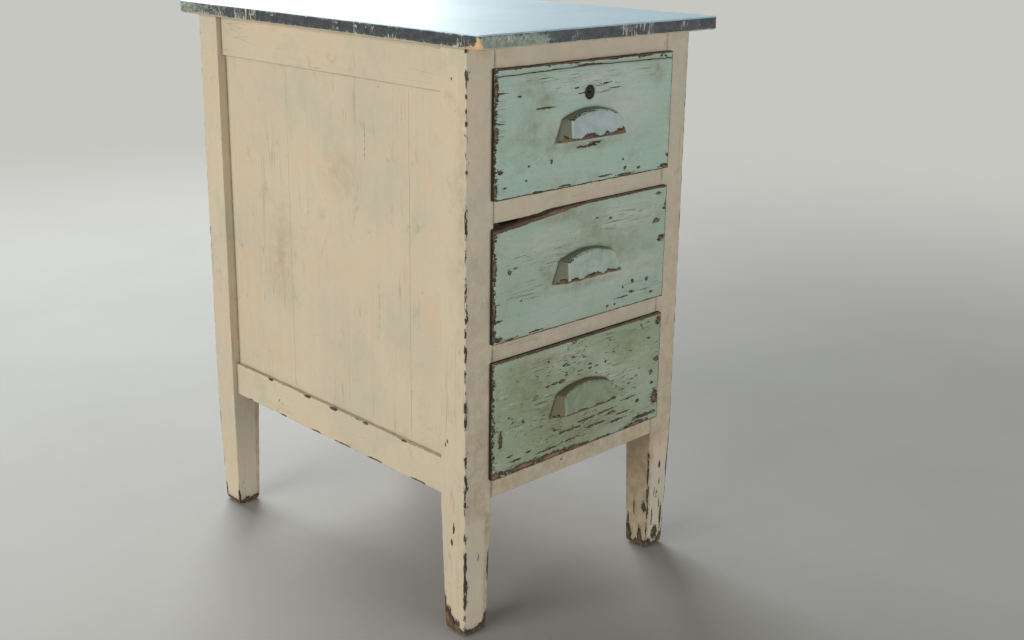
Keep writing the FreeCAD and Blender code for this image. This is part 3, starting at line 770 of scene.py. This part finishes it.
POST_MARKS = {
    "post_front_left": [
        (-197, -257, 148, 3, 3, 10), (-197, -249, 166, 3, 1.2, 4), (-197, -252, 128, 3, 2.5, 6),
        (-197, -245, 262, 3, 1.2, 5), (-197, -241, 257, 3, 1.2, 4), (-173, -277, 106, 3, 1.8, 10),
        (-196.5, -277, 706, 0.9, 1.3, 11), (-197, -277, 655, 0.6, 1.0, 4), (-197, -277, 176, 0.8, 0.8, 6),
        (-196.5, -276.5, 132, 0.9, 1.0, 5), (-196.5, -276.5, 100, 0.7, 0.9, 14),
        (-196.2, -276, 62, 0.8, 1.0, 18), (-195.5, -275, 30, 1.1, 1.3, 14), (-195, -234, 70, 2.5, 2.5, 9),
        (-194, -236, 40, 2.5, 4, 9), (-193, -240, 14, 3, 12, 22), (-193, -252, 4, 3, 10, 16),
        (-157, -272, 10, 6, 3, 20), (-166, -272, 4, 10, 3, 10), (-197, -252, 706, 3, 1.2, 2),
        (-156, -274, 96, 2, 2, 30),
    ],
    "post_front_right": [
        (178, -277, 128, 3, 3, 6), (180, -277, 100, 1.6, 3, 8), (176, -277, 82, 2.6, 3, 9),
        (194, -275, 124, 2, 2.4, 20), (156, -275, 88, 2.6, 2.6, 12), (155, -268, 66, 3, 5, 9),
        (158, -275, 60, 2.4, 2.4, 14), (157, -275, 30, 2.4, 2.4, 14), (172, -274, 22, 4, 3, 7),
        (160, -272, 6, 10, 4, 10), (157, -238, 14, 3, 9, 20), (157, -240, 38, 3, 2, 12),
        (155, -275, 150, 1.6, 1.6, 26), (155, -275, 118, 1.6, 1.6, 16), (186, -272, 3, 9, 3, 4),
        (157, -262, 18, 3, 5, 16), (157, -251, 62, 3, 1.2, 20), (156.5, -266, 96, 3, 1.6, 14),
        (157, -257, 120, 3, 0.9, 12), (176, -275, 20, 7, 3, 14), (187, -275, 44, 2.6, 3, 20),
        (168, -275, 48, 1.6, 3, 16), (190, -275, 12, 6, 3, 12), (182, -276, 66, 1.4, 3, 12),
        (170, -276, 86, 1.1, 3, 9),
    ],
    "post_back_left": [
        (-196, 282, 132, 2, 2.6, 10), (-195, 281, 60, 2, 3, 12), (-195, 279, 16, 3, 5, 14),
        (-193, 243, 10, 3, 3, 14), (-196, 282, 430, 2, 2, 8), (-195, 260, 3, 3, 20, 6),
    ],
    "post_back_right": [(196, 282, 140, 2, 2.6, 14), (195, 280, 30, 3, 4, 16), (196, 282, 520, 2, 2, 12)],
}
SOIL_MARKS = {
    "side_panel_left": [(-183, 21, 499, 6, 10, 9), (-183, -20, 560, 6, 40, 30), (-183, 120, 420, 6, 30, 60)],
    "front_top_rail": [(-136, -277, 734, 16, 6, 9), (60, -277, 716, 40, 6, 5)],
    "post_front_left": [
        (-170, -277, 738, 26, 6, 12), (-197, -250, 685, 6, 10, 8), (-197, -270, 560, 6, 9, 160),
    ],
    "post_front_right": [(176, -277, 738, 22, 6, 10), (186, -277, 420, 8, 6, 90)],
    "front_bottom_rail": [(-40, -277, 190, 90, 6, 6)],
}
RAIL_MARKS = {
    "front_bottom_rail": [(-26, -277, 197, 3.2, 3, 3.2), (-62, -277, 195, 2.2, 3, 1.6)],
    "front_rail_2": [(40, -277, 364, 2, 3, 1.5), (-80, -277, 372, 1.2, 3, 1)],
    "front_rail_1": [(84, -277, 548, 1.2, 3, 1)],
    "side_bottom_rail_left": [
        (-189, 130, 205, 3, 3, 2), (-189, 60, 230, 3, 7, 2), (-189, 0, 230, 3, 9, 2.4),
        (-189, -70, 230, 3, 6, 2), (-189, 150, 230, 3, 5, 2), (-189, -150, 230, 3, 5, 1.6),
        (-189, 205, 184, 3, 4, 2), (-189, 120, 184, 3, 8, 1.6), (-189, 40, 184, 3, 12, 1.6),
        (-189, -20, 184, 3, 18, 1.8), (-189, -90, 184, 3, 14, 1.8), (-189, -180, 184, 3, 16, 1.8),
    ],
    "side_panel_left": [
        (-183, -51, 664, 4, 2.2, 1.6), (-183, -67, 653, 4, 2, 2), (-183, -80, 675, 4, 1.5, 2),
        (-183, -102, 678, 4, 2, 1.6), (-183, 138, 644, 4, 1.2, 1.4), (-183, 41, 597, 4, 1.2, 1.4),
        (-183, -180, 582, 4, 1.4, 1.4), (-183, -50, 367, 4, 1.6, 1.6), (-183, -54, 354, 4, 1.8, 2.2),
        (-183, -98, 430, 4, 1.2, 3),
    ],
}

TOP_MARKS = [(-210, -312, 750, 3, 6, 8), (-207, -313, 745, 4, 4, 4), (-210, -303, 745, 3, 12, 2.5)]

# Spacing of the cuts, bevel, deepest bite and width of the wear on an arris, in millimetres
FRAME_SIZES = (7, 0.5, 0.4, 0.3)
BACK_RAIL_SIZES = (9, 0.5, 0.4, 0.4)
SIDE_TOP_SIZES = (8, 0.5, 0.4, 0.3)
SIDE_BOTTOM_SIZES = (6, 0.5, 0.6, 0.4)
PANEL_SIZES = (8, 0.3, 0.1, 0.2)
BACK_PANEL_SIZES = (12, 0.3, 0.1, 0.2)
TOP_SIZES = (7, 0.4, 0.9, 0.01)

for node, marks in POST_MARKS.items():
    worn_piece(node, cream["Z"], FRAME_SIZES, marks, leg_wear, soil_and_shade(node), round_feet)
for name in ("front_top_rail", "front_rail_1", "front_rail_2", "front_bottom_rail"):
    worn_piece(name, cream["X"], FRAME_SIZES, RAIL_MARKS.get(name, ()), None, soil_and_shade(name))
for name in ("back_top_rail", "back_bottom_rail"):
    worn_piece(name, cream["X"], BACK_RAIL_SIZES)
for side in ("left", "right"):
    name = "side_bottom_rail_" + side
    worn_piece("side_top_rail_" + side, cream["Y"], SIDE_TOP_SIZES)
    worn_piece(name, cream["Y"], SIDE_BOTTOM_SIZES, RAIL_MARKS.get(name, ()), rail_wear)
    name = "side_panel_" + side
    worn_piece(name, cream_panel, PANEL_SIZES, RAIL_MARKS.get(name, ()), None, soil_and_shade(name))
worn_piece("back_panel", cream["Z"], BACK_PANEL_SIZES)
worn_piece("top_board", top_paint, TOP_SIZES, TOP_MARKS)

# Drawers, all in millimetres. A mark on a front is its place across and up and its half sizes.

STRIP_LOW, STRIP_HIGH = (corner / MM for corner in box_of("drawer_1_lip_strip"))
BROKEN_HIGH = box_of("drawer_2_front")[1] / MM
FRONT_Y = STRIP_LOW[1]
LIP_BACK_Y = STRIP_HIGH[1]
LIP_HALF = STRIP_HIGH[0]
FRONT_SIZES = (3, 0.4, 0.9, 0.5)
STRIP_SIZES = (2, 0.4, 0.8, 0.3)
BOX_SIZES = (40, 0.6, 0.4, 0.3)
BOTTOM_SIZES = (40, 0.3, 0.2, 0.2)
HALVED_BEFORE = FRONT_Y + 0.2
FRONT_CHIPS = {
    1: [
        (-150, 597, 5, 3), (-142, 577, 3, 1.5), (-103, 598, 2, 1.6), (-107, 581, 2, 1.4), (-77, 665, 14, 1.4),
        (-119, 682, 4, 1.2), (-65, 599, 2, 3), (148, 567, 9, 3), (153, 581, 3, 2.4), (66, 586, 2.4, 1.4),
        (70, 574, 3, 2), (96, 571, 4, 1.6), (-3, 611, 20, 1.6), (14, 614, 12, 1.6), (-157, 640, 4, 12),
        (-150, 653, 8, 0.9), (-148, 688, 9, 0.9), (-157, 690, 4, 14), (-157, 575, 3, 12), (30, 569, 14, 1.2),
        (70, 566, 20, 1.4), (-40, 566, 12, 1.1), (-90, 565, 10, 1.0), (135, 712, 1.8, 1.8),
        (144, 710, 1.8, 1.8), (-20, 684, 8, 0.9), (-16, 677, 7, 0.9), (30, 686, 12, 1.0), (46, 679, 12, 0.9),
    ],
    2: [
        (137, 494, 7, 3.4), (148, 469, 7, 4.4), (139, 531, 7, 2), (155, 515, 3, 3), (152, 509, 4, 1.6),
        (-132, 473, 4, 3.6), (-124, 477, 7, 1.0), (93, 419, 2.6, 2.6), (122, 417, 3.4, 3), (74, 414, 2, 1.6),
        (92, 405, 6, 1.8), (131, 397, 4, 1.8), (72, 401, 16, 1.2), (45, 394, 2.6, 1.8), (59, 394, 2.4, 1.8),
        (-153, 415, 7, 2), (-151, 392, 8, 3.4), (-130, 389, 12, 1.1), (-86, 390, 12, 1.4),
        (-113, 434, 3, 1.2), (46, 512, 4, 1.6), (20, 516, 3, 1.4), (-157, 480, 3, 20), (-157, 430, 3, 14),
    ],
    3: [
        (-64, 310, 4, 1.8), (-50, 311, 7, 1.8), (-38, 311, 6, 2.8), (-145, 259, 3.4, 12), (151, 352, 6, 6),
        (150, 297, 6, 3.6), (139, 280, 4.4, 3.4), (149, 242, 8, 11), (113, 245, 3.6, 2.8),
        (-20, 240, 24, 1.6), (28, 234, 22, 1.8), (8, 246, 18, 1.6), (60, 242, 9, 2.2), (-152, 214, 14, 5.4),
        (-104, 214, 40, 5.0), (-50, 213, 38, 5.2), (-8, 212, 26, 3.6), (128, 220, 26, 2.8),
        (112, 212, 28, 3.2), (40, 211, 24, 2.0), (-60, 224, 20, 1.4), (-20, 226, 16, 1.3), (84, 236, 14, 1.3),
        (48, 248, 22, 1.2), (96, 254, 16, 1.2), (-128, 234, 7, 1.2), (-34, 332, 5, 1.6), (15, 322, 3, 1.6),
        (15, 316, 3.4, 1.4), (45, 318, 2.4, 1.8), (60, 328, 2.6, 1.3), (115, 353, 2.4, 1.4),
        (132, 331, 5, 1.2), (-118, 226, 10, 1.4), (-96, 231, 8, 1.2), (142, 264, 4, 2), (70, 228, 18, 1.6),
    ],
}

# What else a front shows: a list of marks for each drawer, and their strength on each
FRONT_PAINT = {
    # Olive darkening, much of it beside and under the pulls
    "dirt": [
        [
            (-98, 689, 24, 15), (127, 694, 16, 18), (-77, 674, 18, 12), (-66, 626, 12, 20), (0, 613, 60, 8),
            (-100, 640, 20, 26),
        ],
        [(14, 505, 24, 26), (-68, 455, 12, 22), (0, 434, 60, 7), (-40, 530, 40, 10), (40, 470, 60, 30)],
        [
            (86, 331, 34, 20), (-96, 315, 34, 26), (-64, 274, 14, 24), (-50, 250, 40, 16), (0, 230, 70, 18),
            (-80, 345, 60, 12),
        ],
    ],
    "pale": [
        [(10, 690, 110, 22), (-40, 640, 40, 20), (70, 650, 50, 30)],
        [(70, 510, 60, 24), (-70, 500, 60, 20), (60, 440, 70, 20)],
        [(-40, 345, 70, 12), (60, 300, 60, 26)],
    ],
    "crackle": [
        [(0, 684, 80, 16), (40, 694, 120, 12), (-60, 700, 120, 8), (-150, 670, 10, 40)],
        [(56, 508, 70, 24), (-60, 482, 80, 20), (-110, 440, 50, 16), (100, 408, 70, 16)],
        [(10, 238, 100, 18), (110, 224, 60, 18), (-60, 340, 80, 16), (60, 350, 90, 12), (0, 285, 150, 40)],
    ],
    "flecks": [
        [(0, 640, 260, 120), (-150, 640, 12, 80), (60, 570, 90, 8)],
        [(0, 462, 300, 160), (100, 408, 50, 22), (140, 500, 24, 50), (-150, 460, 10, 80)],
        [(0, 285, 300, 180), (20, 236, 90, 18), (-40, 340, 90, 24), (140, 280, 26, 70), (-150, 290, 10, 80)],
    ],
}
PAINT_STRENGTH = {"dirt": (1.1,) * 3, "pale": (1.1,) * 3, "crackle": (1.2,) * 3, "flecks": (0.35, 0.6, 1.0)}


def on_face(marks):
    """Marks on a front's face as centres and half sizes in space."""
    return [(x, FRONT_Y, z, across, 5.0, up) for x, z, across, up in marks]


def left_end_wear(points, gaps):
    """The left end of a front has lost nearly all its paint, and crumbles on its arris."""
    from_left = points[:, 0] + LIP_HALF * MM
    behind = points[:, 1] - FRONT_Y * MM
    end = np.where((from_left < 0.4 * MM) & (behind > 0.8 * MM), 0.60, 0.0)
    reach = 1.2 * MM * np.maximum(0.3, 1 + 2.6 * rough_all(points, 70, 2.0))
    face = 0.64 * unit(1 - 0.22 * from_left / reach) * (behind < 2 * MM)
    low_edge = unit(1 - 0.5 * gaps / (0.7 * MM))
    return np.maximum(np.maximum(end, face), low_edge * (from_left > 2 * MM))


CRACK_TOP = STRIP_HIGH[2]
CRACK_DROPS = ((-LIP_HALF, 0.0, LIP_HALF), (9.2, 6.6, 8.8))
CRACK_REACH = 3.5 * MM


def crack_height(x):
    """Height of the split along the top drawer's lip."""
    return (CRACK_TOP - np.interp(x / MM, *CRACK_DROPS)) * MM


def crack_wander(x):
    return 0.55 * MM * rough((x, 0, 0), (45, 1, 1), 3.0) + 0.3 * MM * rough((x, 0, 0), (260, 1, 1), 8.0)


def crack_opening(x):
    return 0.12 * MM + 0.4 * MM * max(0.0, rough((x, 0, 0), (22, 1, 1), 5.0))


def along_crack(points, upwards):
    """Follow the split's wandering line, the strip from above and the front from below."""
    for i, (x, y, z) in enumerate(points):
        away = (z - crack_height(x)) * upwards
        if away < CRACK_REACH and y < (LIP_BACK_Y + 0.1) * MM:
            share = 1 - max(0.0, away) / CRACK_REACH
            points[i, 2] += share * (crack_wander(x) + upwards * crack_opening(x))
    return points


def split_wear(points):
    """Dark wood in the split."""
    height = points[:, 2] - np.array([crack_height(x) for x in points[:, 0]])
    return unit(1 - 0.5 * np.abs(height) / (0.3 * MM))


def strip_wear(points, gaps):
    """The split, and worn wood on the strip's upper arris."""
    from_top = CRACK_TOP * MM - points[:, 2]
    reach = 1.5 * MM * np.maximum(0.2, 1 + 2.2 * rough_all(points, 40, 6.0))
    upper = unit(1 - 0.5 * from_top / reach) * (points[:, 0] < 118 * MM)
    return np.maximum.reduce([split_wear(points), upper, left_end_wear(points, gaps)])


def split_front_wear(points, gaps):
    on_lip = points[:, 1] < (LIP_BACK_Y + 0.1) * MM
    return np.maximum(split_wear(points) * on_lip, left_end_wear(points, gaps))


BREAK_TOP = BROKEN_HIGH[2]
BREAK_DEPTH = 14.5
BREAK_LENGTH = 160.0
BREAK_RISE = 5.0 / 7.0


def below_break(points):
    """How far each point lies under the surface that the second drawer's lip broke along."""
    along = (points[:, 0] / MM + LIP_HALF) * BREAK_DEPTH / BREAK_LENGTH
    through = (points[:, 1] / MM - FRONT_Y) * BREAK_RISE
    return (BREAK_TOP - BREAK_DEPTH + along + through) * MM - points[:, 2]


def broken_wear(points, gaps):
    """Open wood on the break."""
    below = below_break(points)
    over = points[:, 0] < (BREAK_LENGTH - LIP_HALF) * MM
    broken = np.clip(1.1 - 0.4 * below / MM, 0, 1.1) * over
    return np.maximum(broken, left_end_wear(points, gaps))


def splinter(points):
    """Torn fibres along the break."""
    below = below_break(points)
    over = points[:, 0] < (BREAK_LENGTH - LIP_HALF) * MM
    for i in np.nonzero((below < 4 * MM) & over)[0]:
        torn = 0.5 + rough(points[i], (18, 420, 300), 1.0) + 0.4 * rough(points[i], (60, 500, 500), 7.0)
        points[i, 2] -= max(0.0, torn) * 1.1 * MM * (1 - below[i] / (4 * MM))
    return points


def front_paint(number):
    """Where a front's paint is darkened, pale, cracked and flecked."""
    def paint(points):
        found = {}
        for kind, marks in FRONT_PAINT.items():
            strength = PAINT_STRENGTH[kind][number - 1]
            found[kind] = reach_of(points, on_face(marks[number - 1]), 0.8, strength)
        return found

    return paint


def front_shape(points):
    return along_crack(points, -1)


def strip_shape(points):
    return along_crack(points, 1)


FRONTS = {1: (split_front_wear, front_shape), 2: (broken_wear, splinter), 3: (left_end_wear, None)}
for number, (wear, shape) in FRONTS.items():
    drawer = "drawer_%d_" % number
    chips = on_face(FRONT_CHIPS[number])
    worn_piece(drawer + "front", mint, FRONT_SIZES, chips, wear, front_paint(number), shape, HALVED_BEFORE)
    for part in ("side_left", "side_right"):
        worn_piece(drawer + part, pine["Y"], BOX_SIZES)
    worn_piece(drawer + "back", pine["X"], BOX_SIZES)
    worn_piece(drawer + "bottom", plywood, BOTTOM_SIZES)
chips = on_face(FRONT_CHIPS[1])
worn_piece("drawer_1_lip_strip", mint, STRIP_SIZES, chips, strip_wear, front_paint(1), strip_shape)

# Pulls


def remeshed(mesh, voxel):
    """The mesh as even small faces, with its sharp edges rubbed round."""
    holder = placed("remesh_holder", mesh)
    modifier = holder.modifiers.new("voxels", "REMESH")
    modifier.mode = "VOXEL"
    modifier.voxel_size = voxel
    modifier.adaptivity = 0.0
    smooth = holder.modifiers.new("rubbed", "SMOOTH")
    smooth.iterations = 3
    smooth.factor = 0.5
    depsgraph = bpy.context.evaluated_depsgraph_get()
    made = bpy.data.meshes.new_from_object(holder.evaluated_get(depsgraph))
    bpy.data.objects.remove(holder)
    return made


def sharp_edge_tree(bm, spacing):
    """Search tree of points along the sharp edges of a shape."""
    points = []
    for edge in bm.edges:
        if edge.calc_face_angle(0.0) < math.radians(30):
            continue
        a, b = (v.co for v in edge.verts)
        count = max(1, int((b - a).length / spacing))
        points += [a.lerp(b, i / count) for i in range(count + 1)]
    tree = KDTree(len(points))
    for i, point in enumerate(points):
        tree.insert(point, i)
    tree.balance()
    return tree


PULL_VOXEL = 0.8 * MM
PULL_HEIGHT = 39 * MM
FOOT_UP = 4 * MM
FACE_OUT = 8 * MM


def pull_piece(node, look, sizes, outline):
    """Pull with a worn foot, a dark outline, strongest on the left, and olive darkening towards the drawer,
    with grime and a painted shadow line where it meets the front.

    Its sizes are the width of the wear on an arris, the height of the worn foot and the deepest bite.
    """
    width, foot_height, bite = (size * MM for size in sizes)
    bm = cad_shape(node)
    tree = sharp_edge_tree(bm, 1 * MM)
    bmesh.ops.triangulate(bm, faces=bm.faces)
    mesh = remeshed(mesh_from(bm, "blank_" + node), PULL_VOXEL)
    low, high = box_of(node)
    points = np.clip(points_of(mesh), low, high)
    gaps = np.array([tree.find(Vector(p))[2] for p in points])
    left = 0.35 + unit(-points[:, 0] / (30 * MM))
    wear = arris_wear(points, gaps, width * left)
    up = points[:, 2] - low[2]
    out = high[1] - points[:, 1]
    ragged = 1 + 1.6 * rough_all(points, 50, 7.0)
    foot = 1.25 - 0.75 * (up - FOOT_UP) / (foot_height * np.maximum(ragged, 0.25))
    foot = np.clip(foot, 0, 1.25) * (out > FACE_OUT)
    under = 0.8 * (up < 4.2 * MM) * (out > 3 * MM)
    rim = outline * np.interp(points[:, 0], (-0.045, -0.020, 0.040), (0.80, 0.64, 0.52))
    rim = rim * unit(1 - 0.5 * gaps / (1.5 * MM)) * (out > FACE_OUT)
    wear = np.maximum.reduce([wear, foot, under, rim])
    # Darkest right against the drawer: grime and a painted shadow line where the pull meets the front
    grime_and_shade = unit(1 - out / (5 * MM)) ** 2
    # Olive darkening towards the drawer
    dirt = 0.6 * unit(1 - out / (12 * MM))
    lean = np.interp(up, (FOOT_UP, PULL_HEIGHT), (20 * MM, 9 * MM)) - out
    behind = unit((lean - 0.9 * MM) / (0.9 * MM))
    write_attributes(mesh, {"wear": wear, "grime_and_shade": grime_and_shade, "dirt": dirt, "behind": behind})
    normals = np.array([v.normal for v in mesh.vertices])
    free = np.where(out > 2 * MM, gaps, ARRIS_REACH)
    set_points(mesh, erode(points, free, normals, bite, 90, 0.15))
    smooth_faces(mesh, 60)
    place_piece("worn_" + node, mesh, node, look)


# Sizes of the wear in millimetres and strength of the outline
PULLS = {1: ((0.8, 4.0, 2.0), 1.0), 2: ((0.5, 3.0, 1.4), 0.9), 3: ((0.4, 2.6, 1.2), 0.8)}
for number, (sizes, outline) in PULLS.items():
    pull_piece("drawer_%d_pull" % number, pull_looks[number - 1], sizes, outline)

# What the frame and the drawers hide, and the metal


def rounded_metal(node, before, soft):
    """Metal piece with its foremost edges rounded."""
    bm = cad_shape(node)
    edges = [e for e in bm.edges if all(v.co.y < before for v in e.verts) and e.calc_face_angle(0.0) > 0.7]
    bmesh.ops.bevel(bm, geom=edges, offset=soft, segments=3, profile=0.5, affect="EDGES")
    mesh = mesh_from(bm, "rounded_" + node)
    smooth_faces(mesh, 35)
    place_piece("rounded_" + node, mesh, node, (iron_metal, "iron"))


rounded_metal("lock_case", (FRONT_Y + 2) * MM, 0.5 * MM)
rounded_metal("lock_plug", (FRONT_Y + 2) * MM, 0.25 * MM)

HIDDEN_WOOD = ("runner", "kicker", "top_glue_blocks")
for node, piece in frame["nodes"].items():
    if piece.hide_render:
        continue
    metal = steel_metal if node.endswith("pull_screws") or node == "lock_screws" else iron_metal
    piece.data.materials.clear()
    piece.data.materials.append(pine["Y"][0] if node.startswith(HIDDEN_WOOD) else metal)

# Stage, lights and camera

BACKDROP = rgb(199, 199, 194)
FADE = (0.7, 3.4)
FLOOR_HALF = 30.0
WORLD_COLOUR = (0.92, 0.96, 1.0, 1.0)
WORLD_STRENGTH = 0.085

# Name, place, target, width and height in metres, power in watts and colour
LIGHTS = (
    ("window_left", (-4.6, 0.2, 1.35), (0, 0, 0.4), (3.0, 2.2), 152, (1.0, 0.95, 0.86)),
    ("window_behind", (1.1, 4.2, 2.6), (0, 0, 0.4), (4.4, 2.8), 305, (0.93, 0.97, 1.0)),
    ("front_fill", (0.3, -4.2, 0.6), (0, 0, 0.45), (3.0, 1.0), 72, (0.98, 0.98, 1.0)),
)


def background_rays(g):
    """1 for rays that see the background: from the camera, or mirrored in something."""
    path = g.node("ShaderNodeLightPath")
    return g.most(path.outputs["Is Camera Ray"], path.outputs["Is Glossy Ray"])


def stage_floor():
    """Pale floor that fades into the backdrop's colour away from the cabinet."""
    g = Graph("floor")
    patch = g.noise(1.5, 4, 0.6)
    fine = g.noise(60, 3, 0.6)
    colour = g.blend(g.rise(patch, 0.3, 0.7), rgb(172, 171, 167), rgb(179, 178, 174))
    colour = g.shade(colour, 0.98, 1.01, fine)
    g.surface(colour, 0.6, g.times(fine, 0.05 * MM), specular=0.2)
    output = next(n for n in g.tree.nodes if n.bl_idname == "ShaderNodeOutputMaterial")
    near = output.inputs["Surface"].links[0].from_socket
    far = g.node("ShaderNodeEmission", {"Color": BACKDROP}).outputs[0]
    length = g.node("ShaderNodeVectorMath", {0: g.place}, operation="LENGTH").outputs["Value"]
    share = g.times(g.rise(length, *FADE), background_rays(g))
    mix = g.node("ShaderNodeMixShader", {0: share, 1: near, 2: far})
    g.tree.links.new(mix.outputs[0], output.inputs["Surface"])
    mesh = bpy.data.meshes.new("floor")
    corners = [(x * FLOOR_HALF, y * FLOOR_HALF, 0) for x, y in ((-1, -1), (1, -1), (1, 1), (-1, 1))]
    mesh.from_pydata(corners, [], [(0, 1, 2, 3)])
    mesh.materials.append(g.made)
    placed("floor", mesh)


def area_light(name, place, target, size, power, colour):
    data = bpy.data.lights.new(name, "AREA")
    data.shape = "RECTANGLE"
    data.size, data.size_y = size
    data.energy = power
    data.color = colour
    light = placed(name, data)
    light.location = place
    light.rotation_euler = (Vector(target) - Vector(place)).to_track_quat("-Z", "Y").to_euler()
    light.visible_camera = False


def studio_world():
    """Faint light from all around, behind which the rays that see it find the backdrop's colour."""
    g = Graph("studio", kind=bpy.data.worlds)
    bpy.context.scene.world = g.made
    light = g.node("ShaderNodeBackground", {"Color": WORLD_COLOUR, "Strength": WORLD_STRENGTH})
    seen = g.node("ShaderNodeBackground", {"Color": BACKDROP, "Strength": 1.0})
    mix = g.node("ShaderNodeMixShader", {0: background_rays(g), 1: light.outputs[0], 2: seen.outputs[0]})
    g.node("ShaderNodeOutputWorld", {"Surface": mix.outputs[0]})


def camera():
    data = bpy.data.cameras.new("camera")
    data.sensor_width = 36.0
    data.lens = CAMERA_LENS
    data.shift_y = CAMERA_SHIFT_UP
    made = placed("camera", data)
    made.location = CAMERA_PLACE
    made.rotation_euler = CAMERA_TURN
    bpy.context.scene.camera = made


stage_floor()
studio_world()
for light in LIGHTS:
    area_light(*light)
camera()
bpy.context.scene.view_settings.view_transform = "Standard"
